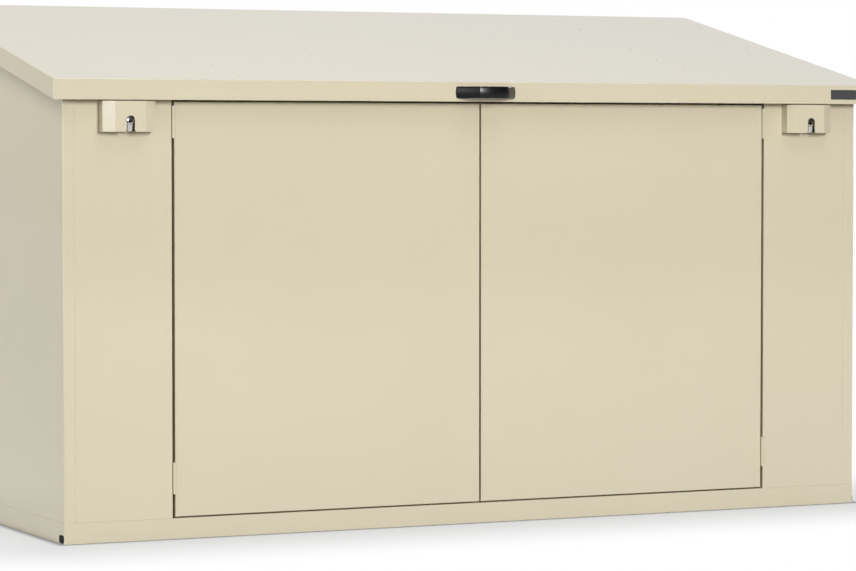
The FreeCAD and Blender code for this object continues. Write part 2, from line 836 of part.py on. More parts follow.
# Gas struts. The wall stud and the lid stud lie equally far from the lid's hinge line, so a strut
# always turns half as far as the lid does.
lid_stud_y = lid_hinge_y - S.strut_run
lid_stud_z = lid_under(lid_stud_y) - S.strut_drop
arm_fall = lid_hinge_z - lid_stud_z
arm_slope = arm_fall / S.strut_run
half_spread = S.strut_spread_angle / 2
wall_stud_y = lid_hinge_y - S.strut_run * cosine(S.strut_spread_angle) + arm_fall * sine(S.strut_spread_angle)
wall_stud_z = lid_hinge_z - S.strut_run * sine(S.strut_spread_angle) - arm_fall * cosine(S.strut_spread_angle)
strut_length = root(S.strut_run * S.strut_run + arm_fall * arm_fall) * sine(half_spread) * 2
tube_length = strut_length - S.strut_end * 2 - S.gland_length - S.rod_showing
strut_lean = Size(f"atan({arm_slope.formula}) + {half_spread.formula} * 1deg",
                  math.degrees(math.atan(arm_slope.value)) + half_spread.value)
bore_radius = S.stud_radius + S.pin_clearance


def lean(strut, side):
    """Set a piece drawn along Z from the wall stud into the strut's own line."""
    rotation = Rotation(Vector(1, 0, 0), strut_lean.value)
    place(strut, (side * strut_line, wall_stud_y, wall_stud_z), rotation)
    strut.setExpression("Placement.Rotation.Angle", strut_lean.formula)
    return strut


def eye(name, level):
    half = S.eye_width / 2
    return [bar(f"{name}_ring", S.eye_radius, (-half, 0, level), S.eye_width, "X"),
            bar(f"{name}_hole", bore_radius, (-S.eye_width, 0, level), S.eye_width * 2, "X")]


def struts():
    for side, word in SIDES:
        ring, hole = eye(f"tube_eye_{word}", 0)
        shell = bar(f"tube_shell_{word}", S.tube_radius, (0, 0, S.strut_end), tube_length, "Z")
        neck = bar(f"tube_neck_{word}", S.rod_radius, (0, 0, 0), S.strut_end + S.tube_wall, "Z")
        floor = S.strut_end + S.tube_wall * 2
        bore = bar(f"tube_bore_{word}", S.tube_radius - S.tube_wall, (0, 0, floor), tube_length, "Z")
        tube = cut(f"strut_tube_{word}", fuse(f"tube_solid_{word}", [shell, neck, ring]), [bore, hole])
        node(lean(tube, side), f"strut_tube_{word}")

        lip = S.strut_end + tube_length
        cap = bar(f"gland_cap_{word}", S.tube_radius, (0, 0, lip), S.gland_length, "Z")
        way = bar(f"gland_way_{word}", S.rod_radius + S.pin_clearance, (0, 0, lip - S.gland_length),
                  S.gland_length * 3, "Z")
        gland = cut(f"strut_gland_{word}", cap, [way])
        node(lean(gland, side), f"strut_gland_{word}")

        ring, hole = eye(f"rod_eye_{word}", strut_length)
        low = floor + S.tube_wall
        stem = bar(f"rod_stem_{word}", S.rod_radius, (0, 0, low), strut_length - low, "Z")
        piston = bar(f"rod_piston_{word}", S.tube_radius - S.tube_wall - S.piston_clearance, (0, 0, low),
                     S.piston_length, "Z")
        rod = cut(f"strut_rod_{word}", fuse(f"rod_solid_{word}", [stem, piston, ring]), [hole])
        node(lean(rod, side), f"strut_rod_{word}")


def strut_studs():
    """The wall stud stands on a plate on the side panel; the lid stud hangs on a bracket under the lid."""
    for side, word in SIDES:
        face = half_width - S.steel
        eye_inner = strut_line - S.eye_width / 2 - S.pin_clearance
        eye_outer = strut_line + S.eye_width / 2 + S.pin_clearance
        plate_half = S.wall_plate / 2

        def across(*ends):
            return in_order(side * end for end in ends)

        def stud(name, radius, ends, y, z):
            low, high = across(*ends)
            return bar(name, radius, (low, y, z), high - low, "X")

        plate = block(f"wall_plate_{word}", across(face - S.bracket_steel, face),
                      (wall_stud_y - plate_half, wall_stud_y + plate_half),
                      (wall_stud_z - plate_half, wall_stud_z + plate_half))
        wall = (wall_stud_y, wall_stud_z)
        root_face = face - S.bracket_steel
        stem = stud(f"wall_stem_{word}", S.stud_radius, (root_face, eye_inner - S.stud_head), *wall)
        collar = stud(f"wall_collar_{word}", S.eye_radius, (root_face, eye_outer), *wall)
        head = stud(f"wall_head_{word}", S.eye_radius, (eye_inner, eye_inner - S.stud_head), *wall)
        node(fuse(f"strut_wall_stud_{word}", [plate, stem, collar, head]), f"strut_wall_stud_{word}")

        body = new_body(f"strut_lid_bracket_{word}")
        near = lid_stud_y - S.bracket_length
        far = lid_stud_y + S.eye_radius
        thick = S.bracket_steel
        strap = [(near, lid_under(near)), (far, lid_under(far)), (far, lid_under(far) - thick),
                 (near, lid_under(near) - thick)]
        outer = side * eye_outer
        pad(body, outline(body, "strap", "YZ", strap, outer), S.bracket_width, reverse=side > 0)
        low = lid_stud_z - S.eye_radius
        lug = [(lid_stud_y - S.eye_radius, low), (far, low), (far, lid_under(far)),
               (lid_stud_y - S.eye_radius, lid_under(lid_stud_y - S.eye_radius))]
        inner = side * (eye_inner - S.bracket_steel)
        pad(body, outline(body, "lug", "YZ", lug, inner), thick, reverse=side < 0)
        pivot = circles(body, "stud", "YZ", [(lid_stud_y, lid_stud_z)], S.stud_radius, inner)
        pad(body, pivot, eye_outer - eye_inner + S.bracket_steel + S.stud_head, reverse=side < 0)
        cap = circles(body, "head", "YZ", [(lid_stud_y, lid_stud_z)], S.eye_radius, outer)
        pad(body, cap, S.stud_head, reverse=side < 0)


struts()
strut_studs()


# Locks. A folded housing stands on each front panel and holds a profile cylinder on a bracket.
bevel_run = (S.housing_width - S.housing_flat) / 2
bevel_fall = S.housing_depth - S.housing_wall
bevel = root(bevel_run * bevel_run + bevel_fall * bevel_fall)
wall_trim = S.housing_steel * (bevel - bevel_fall) / bevel_run
flat_trim = S.housing_steel * (bevel - bevel_run) / bevel_fall
cylinder_face = front - S.housing_depth + S.cylinder_setback
cam_rear = front - S.cam_from_panel
cam_front = cam_rear - S.cam_width
profile_low = lock_level + S.profile_radius - S.profile_height


def lock_housing(word, lock):
    body = new_body(f"lock_housing_{word}")
    wide = S.housing_width / 2
    flat = S.housing_flat / 2
    wall = S.housing_steel
    outer = [(wide, front), (wide, front - S.housing_wall), (flat, front - S.housing_depth)]
    inner = [(wide - wall, front), (wide - wall, front - S.housing_wall + wall_trim),
             (flat - flat_trim, front - S.housing_depth + wall)]
    half_loop = list(reversed(inner)) + outer
    loop = half_loop + [(-x, y) for x, y in reversed(half_loop)]
    plan = [(lock + x, y) for x, y in loop]
    pad(body, outline(body, "plan", "XY", plan, housing_bottom), housing_top - housing_bottom)
    slot = S.notch_width / 2
    gap = slot + S.notch_flare + wall
    floor = inner + [(gap, front - S.housing_depth + wall), (gap, front)]
    for hand, mark in SIDES:
        half = [(lock + hand * x, y) for x, y in floor]
        pad(body, outline(body, f"floor_{mark}", "XY", half, housing_bottom), wall)
    arch = housing_bottom + S.notch_height - slot
    face = front - S.housing_depth
    tall = (housing_bottom - wall, arch)
    notch = rectangle(body, "notch", "XZ", (lock - slot, lock + slot), tall, -face)
    pocket(body, notch, through)
    pocket(body, circles(body, "arch", "XZ", [(lock, arch)], slot, -face), through)
    round_edges(body, "flare", S.notch_flare,
                lambda edge: any(lies(edge, x=lock + hand * slot, z=housing_bottom)
                                 and edge.BoundBox.YMax < (face + wall * 2).value for hand in (-1, 1)))


def lock_bracket(side, word, lock):
    """Plate across the housing with a cut-out for the cylinder, welded to the housing's outer wall."""
    ends = in_order((lock + side * (S.housing_width / 2 - S.housing_steel),
                     lock - side * (S.profile_radius + S.housing_steel)))
    deep = (front - S.bracket_setback - S.catch_steel, front - S.bracket_setback)
    low = housing_bottom + S.housing_steel
    plate = block(f"bracket_plate_{word}", ends, deep, (low, lock_level + S.profile_radius * 2))
    start = deep[0] - S.catch_steel
    length = S.catch_steel * 3
    spot = (lock, start, lock_level)
    round_hole = bar(f"bracket_hole_{word}", S.profile_radius + S.lock_fit, spot, length, "Y")
    half = S.profile_leg / 2 + S.lock_fit
    leg_hole = block(f"bracket_slot_{word}", (lock - half, lock + half), (start, start + length),
                     (housing_bottom, lock_level))
    node(cut(f"lock_bracket_{word}", plate, [round_hole, leg_hole]), f"lock_bracket_{word}")


def lock_cylinder(word, lock):
    """Profile cylinder: a round barrel over a rounded leg, slotted across for the cam."""
    start = (lock, cylinder_face, lock_level)
    barrel = bar(f"cylinder_barrel_{word}", S.profile_radius, start, S.cylinder_length, "Y")
    half = S.profile_leg / 2
    deep = (cylinder_face, cylinder_face + S.cylinder_length)
    toe_level = profile_low + half
    leg = block(f"cylinder_leg_{word}", (lock - half, lock + half), deep, (toe_level, lock_level))
    toe = bar(f"cylinder_toe_{word}", half, (lock, cylinder_face, toe_level), S.cylinder_length, "Y")
    past = S.profile_radius
    way = bar(f"cylinder_way_{word}", S.plug_radius + S.pin_clearance,
              (lock, cylinder_face - past, lock_level), S.cylinder_length + past * 2, "Y")
    reach = S.cam_reach + S.cam_clearance * 4
    slot = block(f"cylinder_slot_{word}", (lock - S.profile_radius * 2, lock + S.profile_radius * 2),
                 (cam_front - S.cam_clearance, cam_rear + S.cam_clearance),
                 (lock_level - reach, lock_level + S.profile_radius * 2))
    solid = fuse(f"cylinder_solid_{word}", [barrel, leg, toe])
    node(cut(f"lock_cylinder_{word}", solid, [way, slot]), f"lock_cylinder_{word}")


def lock_plug(word, lock):
    """Turning plug with its keyway, flush with the cylinder's face."""
    spot = (lock, cylinder_face, lock_level)
    stem = bar(f"plug_stem_{word}", S.plug_radius, spot, S.cylinder_length, "Y")
    half = S.keyway_width / 2
    keyway = block(f"plug_keyway_{word}", (lock - half, lock + half),
                   (cylinder_face - S.keyway_width, cylinder_face + S.keyway_depth),
                   (lock_level - S.keyway_height / 2, lock_level + S.keyway_height / 2))
    node(cut(f"lock_plug_{word}", stem, [keyway]), f"lock_plug_{word}")


def lock_cam(word, lock):
    """Cam ring on the plug, with its lobe hanging down where the lid is free."""
    start = (lock, cam_front, lock_level)
    hub = bar(f"cam_hub_{word}", S.profile_radius - S.cam_clearance, start, S.cam_width, "Y")
    half = S.cam_lobe / 2
    lobe = block(f"cam_lobe_{word}", (lock - half, lock + half), (cam_front, cam_rear),
                 (lock_level - S.cam_reach, lock_level))
    before = (lock, cam_front - S.cam_width, lock_level)
    hole = bar(f"cam_hole_{word}", S.plug_radius, before, S.cam_width * 3, "Y")
    node(cut(f"lock_cam_{word}", fuse(f"cam_solid_{word}", [hub, lobe]), [hole]), f"lock_cam_{word}")


def lid_catch(side, word, lock):
    """Hook under the lid: a foot on the lid's skin, a shank beside the cylinder and a lug under the cam."""
    body = new_body(f"lid_catch_{word}")
    near = front - S.catch_front
    shank = near + S.catch_shank
    lug_end = cam_rear
    top_of_lug = lock_level - S.catch_drop
    low = top_of_lug - S.catch_lug
    hook = [(near, lid_under(near)), (shank, lid_under(shank)), (shank, top_of_lug), (lug_end, top_of_lug),
            (lug_end, low), (near, low)]
    inner = lock - side * S.catch_offset
    pad(body, outline(body, "hook", "YZ", hook, inner), S.catch_steel, reverse=side > 0)
    ahead = lid_front + S.steel * 4
    behind = front - S.steel * 2
    thick = S.catch_steel
    foot = [(ahead, lid_under(ahead)), (behind, lid_under(behind)), (behind, lid_under(behind) - thick),
            (ahead, lid_under(ahead) - thick)]
    pad(body, outline(body, "foot", "YZ", foot, inner), S.catch_foot, reverse=side > 0)


for side, word, lock in lock_places():
    lock_housing(word, lock)
    lock_bracket(side, word, lock)
    lock_cylinder(word, lock)
    lock_plug(word, lock)
    lock_cam(word, lock)
    lid_catch(side, word, lock)


# Pull handle, its screws and the plain plate on the fascia.
handle_level = S.fascia_bottom + S.handle_rise
screw_spots = [S.handle_shift + hand * (S.handle_length / 2 - S.screw_inset) for hand in (-1, 1)]


def pull_handle():
    body = new_body("pull_handle")
    flat = S.handle_flat / 2
    long = S.handle_length / 2
    slant = root((long - flat) * (long - flat) + S.handle_depth * S.handle_depth)
    trim = S.handle_bar * (slant - long + flat) / S.handle_depth
    outer = [(long, lid_front), (flat, lid_front - S.handle_depth)]
    inner = [(long - S.handle_foot, lid_front), (flat - trim, lid_front - S.handle_depth + S.handle_bar)]
    half_loop = list(reversed(inner)) + outer
    loop = half_loop + [(-x, y) for x, y in reversed(half_loop)]
    plan = [(S.handle_shift + x, y) for x, y in loop]
    base = handle_level - S.handle_height / 2
    pad(body, outline(body, "plan", "XY", plan, base), S.handle_height)
    bend = lid_front - S.handle_depth
    ends = [S.handle_shift + hand * flat for hand in (-1, 1)]
    round_edges(body, "bends", S.handle_bend, lambda edge: any(lies(edge, x=x, y=bend) for x in ends))
    levels = (base, base + S.handle_height)
    round_edges(body, "rims", S.handle_round,
                lambda edge: any(lies(edge, z=z) for z in levels) and not lies(edge, y=lid_front))
    for index, x in enumerate(screw_spots):
        hole = circles(body, f"pilot_{index}", "XZ", [(x, handle_level)], S.screw_radius, -lid_front)
        pocket(body, hole, S.screw_depth * 2)
        doc.recompute()


def handle_screws():
    """Screws from inside the fascia into the handle's feet."""
    screws = []
    back = lid_front + S.steel
    for index, x in enumerate(screw_spots):
        stem = bar(f"screw_stem_{index}", S.screw_radius, (x, lid_front - S.screw_depth, handle_level),
                   S.screw_depth + S.steel, "Y")
        head = bar(f"screw_head_{index}", S.screw_head, (x, back, handle_level), S.screw_head_height, "Y")
        screws.append(fuse(f"handle_screw_{index}", [stem, head]))
    group("handle_screws", screws)


def fascia_plate():
    right = lid_half - S.plate_inset
    middle = S.fascia_bottom + S.plate_rise
    wide = (right - S.plate_length, right)
    tall = (middle - S.plate_height / 2, middle + S.plate_height / 2)
    node(block("blank_plate", wide, (lid_front - S.plate_thick, lid_front), tall), "blank_plate")


pull_handle()
handle_screws()
fascia_plate()


# The screws pass through the fascia, so the lid's skin is bored for them last.
lid = doc.getObject("lid_skin")
bores = circles(lid, "screws", "XZ", [(x, handle_level) for x in screw_spots], S.screw_radius, -lid_front)
pocket(lid, bores, through)

doc.recompute()
failed = [item.Name for item in doc.Objects if {"Invalid", "Error"} & set(item.State)]
failed += [item.Label for item in nodes if item.Shape.isNull() or not item.Shape.isValid()]
if failed:
    raise RuntimeError(f"These objects failed: {failed}")

os.makedirs("parts", exist_ok=True)
for item in nodes:
    item.Shape.exportStep(os.path.join("parts", f"{item.Label}.step"))
print(f"{len(nodes)} nodes, {sum(len(item.Shape.Solids) for item in nodes)} solids")
print(f"lid hinge line: y {lid_hinge_y.value:.3f}, z {lid_hinge_z.value:.3f}")
print(f"door hinge line: x {hinge_line.value:.3f}, y {hinge_axis.value:.3f}")
print(f"wall stud: y {wall_stud_y.value:.3f}, z {wall_stud_z.value:.3f}")
print(f"lid stud: y {lid_stud_y.value:.3f}, z {lid_stud_z.value:.3f}")
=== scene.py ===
import math

import bmesh
import bpy
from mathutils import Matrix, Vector


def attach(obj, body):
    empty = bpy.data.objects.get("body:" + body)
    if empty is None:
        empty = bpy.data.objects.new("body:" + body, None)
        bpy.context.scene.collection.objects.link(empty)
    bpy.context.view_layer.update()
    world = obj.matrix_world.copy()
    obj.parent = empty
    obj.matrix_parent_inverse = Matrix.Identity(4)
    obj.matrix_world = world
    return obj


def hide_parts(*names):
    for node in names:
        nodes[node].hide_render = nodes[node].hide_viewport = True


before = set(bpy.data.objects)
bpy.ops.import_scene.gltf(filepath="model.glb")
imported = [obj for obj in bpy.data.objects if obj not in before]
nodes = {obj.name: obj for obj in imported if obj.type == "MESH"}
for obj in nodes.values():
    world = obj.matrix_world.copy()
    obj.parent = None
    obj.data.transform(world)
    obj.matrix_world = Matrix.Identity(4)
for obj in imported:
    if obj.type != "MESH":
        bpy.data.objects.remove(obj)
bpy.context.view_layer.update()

# Base tray and body panels: folded from thin steel sheet and bolted together through their flanges.
# They are sprayed with polyester powder, which the oven melts into one smooth skin.


def linear(code):
    """An sRGB hex colour as linear red, green, blue and alpha."""
    values = [int(code[i:i + 2], 16) / 255 for i in (1, 3, 5)]
    return [v / 12.92 if v <= 0.04045 else ((v + 0.055) / 1.055) ** 2.4 for v in values] + [1.0]


def per(millimetres):
    """The texture scale that makes a pattern repeat about every so many millimetres."""
    return 1000 / millimetres


def add(tree, kind, settings=None, sockets=None):
    """A node of that kind with its settings, and its sockets set to values or linked to outputs."""
    made = tree.nodes.new(kind)
    for name, value in (settings or {}).items():
        setattr(made, name, value)
    for key, value in (sockets or {}).items():
        if isinstance(value, bpy.types.NodeSocket):
            tree.links.new(value, made.inputs[key])
        else:
            made.inputs[key].default_value = value
    return made


def coating(name, constants):
    """A material with its shader's constants set: the material, its tree, its shader and its coordinates."""
    material = bpy.data.materials.new(name)
    material.use_nodes = True
    tree = material.node_tree
    shader = tree.nodes["Principled BSDF"]
    for socket, value in constants.items():
        shader.inputs[socket].default_value = value
    return material, tree, shader, add(tree, "ShaderNodeTexCoord").outputs["Object"]


def dress(material, names):
    """Gives those CAD nodes that material and no other."""
    for name in names:
        nodes[name].data.materials.clear()
        nodes[name].data.materials.append(material)


# A colour mix node's sockets by number, because its names repeat.
BLEND = {"data_type": "RGBA"}
SHARE, FIRST, SECOND, BLENDED = 0, 6, 7, 2

# Cream polyester powder coat: a glossy skin over sheet that is never quite flat, so its reflections wander.
# A slight orange peel softens them, and the tone drifts a little from one spray pass to the next.
# Real peel is about 2 mm across and would not show at this distance, so it is drawn at 9 mm.
CREAM_LIGHT = "#ddd4ba"
CREAM_DEEP = "#d9d0b4"
SPRAY_PASS = 380
SHEET_WAVE = 460
WAVE_HEIGHT = 0.0018
PEEL = 9
PEEL_HEIGHT = 0.00001
GLOSS_PATCH = 140
powder_coat, tree, shader, spot = coating("cream powder coat", {"IOR": 1.58, "Coat Weight": 0.5,
                                                                "Coat Roughness": 0.08})
passes = add(tree, "ShaderNodeTexNoise", {}, {"Vector": spot, "Scale": per(SPRAY_PASS), "Detail": 2.0})
tone = add(tree, "ShaderNodeMix", BLEND, {SHARE: passes.outputs["Fac"], FIRST: linear(CREAM_DEEP),
                                          SECOND: linear(CREAM_LIGHT)})
tree.links.new(tone.outputs[BLENDED], shader.inputs["Base Color"])
patches = add(tree, "ShaderNodeTexNoise", {}, {"Vector": spot, "Scale": per(GLOSS_PATCH), "Detail": 2.0})
gloss = add(tree, "ShaderNodeMapRange", {}, {"Value": patches.outputs["Fac"], "To Min": 0.1, "To Max": 0.15})
tree.links.new(gloss.outputs["Result"], shader.inputs["Roughness"])
wave = add(tree, "ShaderNodeTexNoise", {}, {"Vector": spot, "Scale": per(SHEET_WAVE), "Detail": 0.0})
unflat = add(tree, "ShaderNodeBump", {}, {"Height": wave.outputs["Fac"], "Strength": 1.0,
                                          "Distance": WAVE_HEIGHT})
peel = add(tree, "ShaderNodeTexNoise", {}, {"Vector": spot, "Scale": per(PEEL), "Detail": 1.0})
relief = add(tree, "ShaderNodeBump", {}, {"Height": peel.outputs["Fac"], "Strength": 1.0,
                                          "Distance": PEEL_HEIGHT, "Normal": unflat.outputs["Normal"]})
tree.links.new(relief.outputs["Normal"], shader.inputs["Normal"])

# Each side's word in the nodes' names, with the sign of its X.
SIDES = {"left": -1, "right": 1}
dress(powder_coat, ["base_tray", "door_sill_stop", "back_panel", "back_top_rail"])
dress(powder_coat, [f"{panel}_panel_{word}" for panel in ("side", "front") for word in SIDES])

# Floor bearers: channels rolled from hot-dip galvanised strip, welded under the floor.
# They carry the shed on the ground and take its anchor bolts.

# Hot-dip galvanising freezes into flat crystals about 10 mm across, each a slightly different grey.
ZINC_PALE = "#b9bcbd"
ZINC_DARK = "#8f9396"
CRYSTAL = 11
galvanised, tree, shader, spot = coating("hot-dip galvanised steel", {"Metallic": 1.0})
crystals = add(tree, "ShaderNodeTexVoronoi", {}, {"Vector": spot, "Scale": per(CRYSTAL)})
tints = add(tree, "ShaderNodeSeparateColor", {}, {"Color": crystals.outputs["Color"]})
spangle = add(tree, "ShaderNodeMix", BLEND, {SHARE: tints.outputs["Red"], FIRST: linear(ZINC_DARK),
                                             SECOND: linear(ZINC_PALE)})
tree.links.new(spangle.outputs[BLENDED], shader.inputs["Base Color"])
dull = add(tree, "ShaderNodeMapRange", {}, {"Value": tints.outputs["Green"], "To Min": 0.34, "To Max": 0.55})
tree.links.new(dull.outputs["Result"], shader.inputs["Roughness"])
dress(galvanised, [f"floor_bearer_{place}" for place in ("left", "middle", "right")])

# Plugs: soft rubber mouldings pressed into the slots of the side skirts, one near each corner.
# Each has a rounded head with a raised middle and a neck that fills its slot.

# Moulded rubber: a dull black with a fine bloom that greys it in patches.
RUBBER_BLACK = "#0a0a0a"
RUBBER_BLOOM = "#161615"
BLOOM = 6
rubber, tree, shader, spot = coating("moulded black rubber", {"Specular IOR Level": 0.2})
bloom = add(tree, "ShaderNodeTexNoise", {}, {"Vector": spot, "Scale": per(BLOOM), "Detail": 4.0})
shade = add(tree, "ShaderNodeMix", BLEND, {SHARE: bloom.outputs["Fac"], FIRST: linear(RUBBER_BLACK),
                                           SECOND: linear(RUBBER_BLOOM)})
tree.links.new(shade.outputs[BLENDED], shader.inputs["Base Color"])
dusty = add(tree, "ShaderNodeMapRange", {}, {"Value": bloom.outputs["Fac"], "To Min": 0.5, "To Max": 0.75})
tree.links.new(dusty.outputs["Result"], shader.inputs["Roughness"])

PLUG_HEAD = (0.0016, 0.028, 0.017)
PLUG_NECK = (0.003, 0.0258, 0.0148)
PLUG_CORNER = 0.007
PLUG_LIP = 0.0025
PLUG_RISE = 0.0006
PLUG_SHOULDER = 0.002
PLUG_CROWN = 0.0003
NECK_CORNER = 0.0004
PLUG_SPOT = (0.99, 0.412, 0.0105)

# How squarely a chosen face looks along an axis, how nearly a chosen edge runs along one, and the bend
# between two faces below which they are shaded as one smooth surface.
FACING = 0.9
ALIGNED = 0.98
SMOOTH_BELOW = math.radians(35)


def take(piece):
    """Selects only that piece and makes it the active one."""
    bpy.ops.object.select_all(action="DESELECT")
    piece.select_set(True)
    bpy.context.view_layer.objects.active = piece


def choose(piece, kind, test):
    """In edit mode, selects only the piece's faces, edges or points that pass the test."""
    bpy.ops.mesh.select_mode(type=kind)
    bpy.ops.mesh.select_all(action="DESELECT")
    mesh = bmesh.from_edit_mesh(piece.data)
    for item in {"FACE": mesh.faces, "EDGE": mesh.edges, "VERT": mesh.verts}[kind]:
        if test(item):
            item.select_set(True)
    bmesh.update_edit_mesh(piece.data)


def along(edge, axis):
    """Whether an edge runs along X, Y or Z."""
    run = edge.verts[1].co - edge.verts[0].co
    return abs(run["XYZ".index(axis)]) > ALIGNED * run.length


def copy_to(piece, spot, turn=(0, 0, 0)):
    """A copy of the piece with its own mesh, turned and moved there."""
    take(piece)
    bpy.ops.object.duplicate()
    made = bpy.context.object
    made.rotation_euler = turn
    made.location = spot
    bpy.ops.object.transform_apply(location=True, rotation=True, scale=True)
    return made


def join(name, pieces):
    """One object of all the pieces, smooth where its faces nearly meet flat."""
    take(pieces[0])
    for piece in pieces:
        piece.select_set(True)
    bpy.ops.object.join()
    whole = bpy.context.object
    whole.name = name
    bpy.ops.object.shade_smooth_by_angle(angle=SMOOTH_BELOW)
    return whole


def drop(piece):
    """Removes a piece that has done its work."""
    bpy.data.objects.remove(piece)


def box(low, high):
    """A block between two corners."""
    bpy.ops.object.select_all(action="DESELECT")
    bpy.ops.mesh.primitive_cube_add(size=1, location=[(a + b) / 2 for a, b in zip(low, high)])
    piece = bpy.context.object
    piece.scale = [b - a for a, b in zip(low, high)]
    bpy.ops.object.transform_apply(location=True, rotation=True, scale=True)
    return piece


head = box((0, -PLUG_HEAD[1] / 2, -PLUG_HEAD[2] / 2), (PLUG_HEAD[0], PLUG_HEAD[1] / 2, PLUG_HEAD[2] / 2))
bpy.ops.object.mode_set(mode="EDIT")
choose(head, "EDGE", lambda edge: along(edge, "X"))
bpy.ops.mesh.bevel(offset=PLUG_CORNER, segments=6)
choose(head, "FACE", lambda face: face.normal.x > FACING)
bpy.ops.mesh.inset(thickness=PLUG_LIP)
bpy.ops.transform.translate(value=(PLUG_RISE, 0, 0))
bpy.ops.mesh.inset(thickness=PLUG_SHOULDER)
bpy.ops.transform.translate(value=(PLUG_CROWN, 0, 0))
bpy.ops.object.mode_set(mode="OBJECT")
neck = box((-PLUG_NECK[0], -PLUG_NECK[1] / 2, -PLUG_NECK[2] / 2), (0, PLUG_NECK[1] / 2, PLUG_NECK[2] / 2))
bpy.ops.object.mode_set(mode="EDIT")
choose(neck, "EDGE", lambda edge: along(edge, "X"))
bpy.ops.mesh.bevel(offset=NECK_CORNER, segments=2)
bpy.ops.object.mode_set(mode="OBJECT")
rubber_plug = join("plug", [head, neck])
plugs = []
for hand in SIDES.values():
    for end in (-1, 1):
        place = (hand * PLUG_SPOT[0], end * PLUG_SPOT[1], PLUG_SPOT[2])
        plugs.append(copy_to(rubber_plug, place, (0, 0, 0 if hand > 0 else math.pi)))
drop(rubber_plug)
base_plugs = join("rubber_plugs", plugs)
base_plugs.data.materials.append(rubber)
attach(base_plugs, "cabinet")
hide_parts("base_plugs")

# Seams: where a front or back panel meets the folded edge of a side panel, the paint bridges the gap.
# It shrinks back as it cures, so each seam shows as a shallow hollow line.
SEAM_LINE = 0.9637
SEAM_FACE = 0.428
BEAD_HALF = 0.0013
BEAD_RIM = BEAD_HALF / 3
BEAD_DEPTH = 0.0007
BEAD_BACK = 0.0016
BEAD_HOLLOW = 0.00006
SEAM_FOOT = 0.047
# The level where each bead ends, at the front (-1) and at the back (1).
SEAM_TOPS = {-1: 0.995, 1: 1.176}
beads = []
for end, top in SEAM_TOPS.items():
    bead = box((-BEAD_HALF, -SEAM_FACE + BEAD_DEPTH, SEAM_FOOT), (BEAD_HALF, -SEAM_FACE + BEAD_BACK, top))
    bpy.ops.object.mode_set(mode="EDIT")
    choose(bead, "FACE", lambda face: face.normal.y < -FACING)
    bpy.ops.mesh.inset(thickness=BEAD_RIM)
    bpy.ops.transform.translate(value=(0, BEAD_HOLLOW, 0))
    bpy.ops.object.mode_set(mode="OBJECT")
    for hand in SIDES.values():
        beads.append(copy_to(bead, (hand * SEAM_LINE, 0, 0), (0, 0, 0 if end < 0 else math.pi)))
    drop(bead)
seam_paint = join("paint_in_seams", beads)
seam_paint.data.materials.append(powder_coat)
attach(seam_paint, "cabinet")

# Bolts: zinc-plated hexagon bolts with a washer under the head and a nut on the far side.
# They clamp the paired flanges of the panels, and the panels' floor flanges to the base tray.

# Bright zinc plate: a bluish white metal with a faint yellow stain from its passivation.
PLATE_BLUE = "#c3c7cb"
PLATE_YELLOW = "#c9c4b2"
STAIN = 5
zinc_plate, tree, shader, spot = coating("bright zinc plate", {"Metallic": 1.0})
stain = add(tree, "ShaderNodeTexNoise", {}, {"Vector": spot, "Scale": per(STAIN), "Detail": 2.0})
film = add(tree, "ShaderNodeMix", BLEND, {SHARE: stain.outputs["Fac"], FIRST: linear(PLATE_BLUE),
                                          SECOND: linear(PLATE_YELLOW)})
tree.links.new(film.outputs[BLENDED], shader.inputs["Base Color"])
haze = add(tree, "ShaderNodeMapRange", {}, {"Value": stain.outputs["Fac"], "To Min": 0.2, "To Max": 0.36})
tree.links.new(haze.outputs["Result"], shader.inputs["Roughness"])

BOLT_RADIUS = 0.003
HEX_RADIUS = 0.00577
HEX_HEIGHT = 0.0035
HEX_CHAMFER = 0.0009
HEX_CROWN = HEX_CHAMFER / 2
WASHER_RADIUS = 0.0062
WASHER_HEIGHT = 0.0008
WASHER_CHAMFER = 0.0002
THREAD_END = 0.0014
THREAD_CHAMFER = 0.0005
DISC_SIDES = 24
SEAM_GRIP = 0.003
FLOOR_GRIP = 0.0024


def hexagon(low, high, crown):
    """A bolt head or nut between two levels, its corners chamfered on the crowned side."""
    bpy.ops.object.select_all(action="DESELECT")
    bpy.ops.mesh.primitive_cylinder_add(vertices=6, radius=HEX_RADIUS, depth=high - low,
                                        location=(0, 0, (low + high) / 2))
    piece = bpy.context.object
    bpy.ops.object.transform_apply(location=True, rotation=True, scale=True)
    bpy.ops.object.mode_set(mode="EDIT")
    choose(piece, "FACE", lambda face: face.normal.z * crown > FACING)
    bpy.ops.mesh.inset(thickness=HEX_CHAMFER)
    bpy.ops.transform.translate(value=(0, 0, crown * HEX_CROWN))
    bpy.ops.object.mode_set(mode="OBJECT")
    return piece


def disc(radius, low, high, chamfer):
    """A washer or the end of a thread, its rims chamfered."""
    bpy.ops.object.select_all(action="DESELECT")
    bpy.ops.mesh.primitive_cylinder_add(vertices=DISC_SIDES, radius=radius, depth=high - low,
                                        location=(0, 0, (low + high) / 2))
    piece = bpy.context.object
    bpy.ops.object.transform_apply(location=True, rotation=True, scale=True)
    bpy.ops.object.mode_set(mode="EDIT")
    choose(piece, "EDGE", lambda edge: not along(edge, "Z"))
    bpy.ops.mesh.bevel(offset=chamfer, segments=1)
    bpy.ops.object.mode_set(mode="OBJECT")
    return piece


def bolt(grip):
    """A bolt along Z through sheets of that thickness together, with its washer and nut."""
    half = grip / 2
    head = hexagon(-half - HEX_HEIGHT, -half - WASHER_HEIGHT, -1)
    washer = disc(WASHER_RADIUS, -half - WASHER_HEIGHT, -half, WASHER_CHAMFER)
    nut_top = half + HEX_HEIGHT
    nut = hexagon(half, nut_top, 1)
    thread = disc(BOLT_RADIUS, nut_top - THREAD_END, nut_top + THREAD_END, THREAD_CHAMFER)
    return join("bolt", [head, washer, nut, thread])


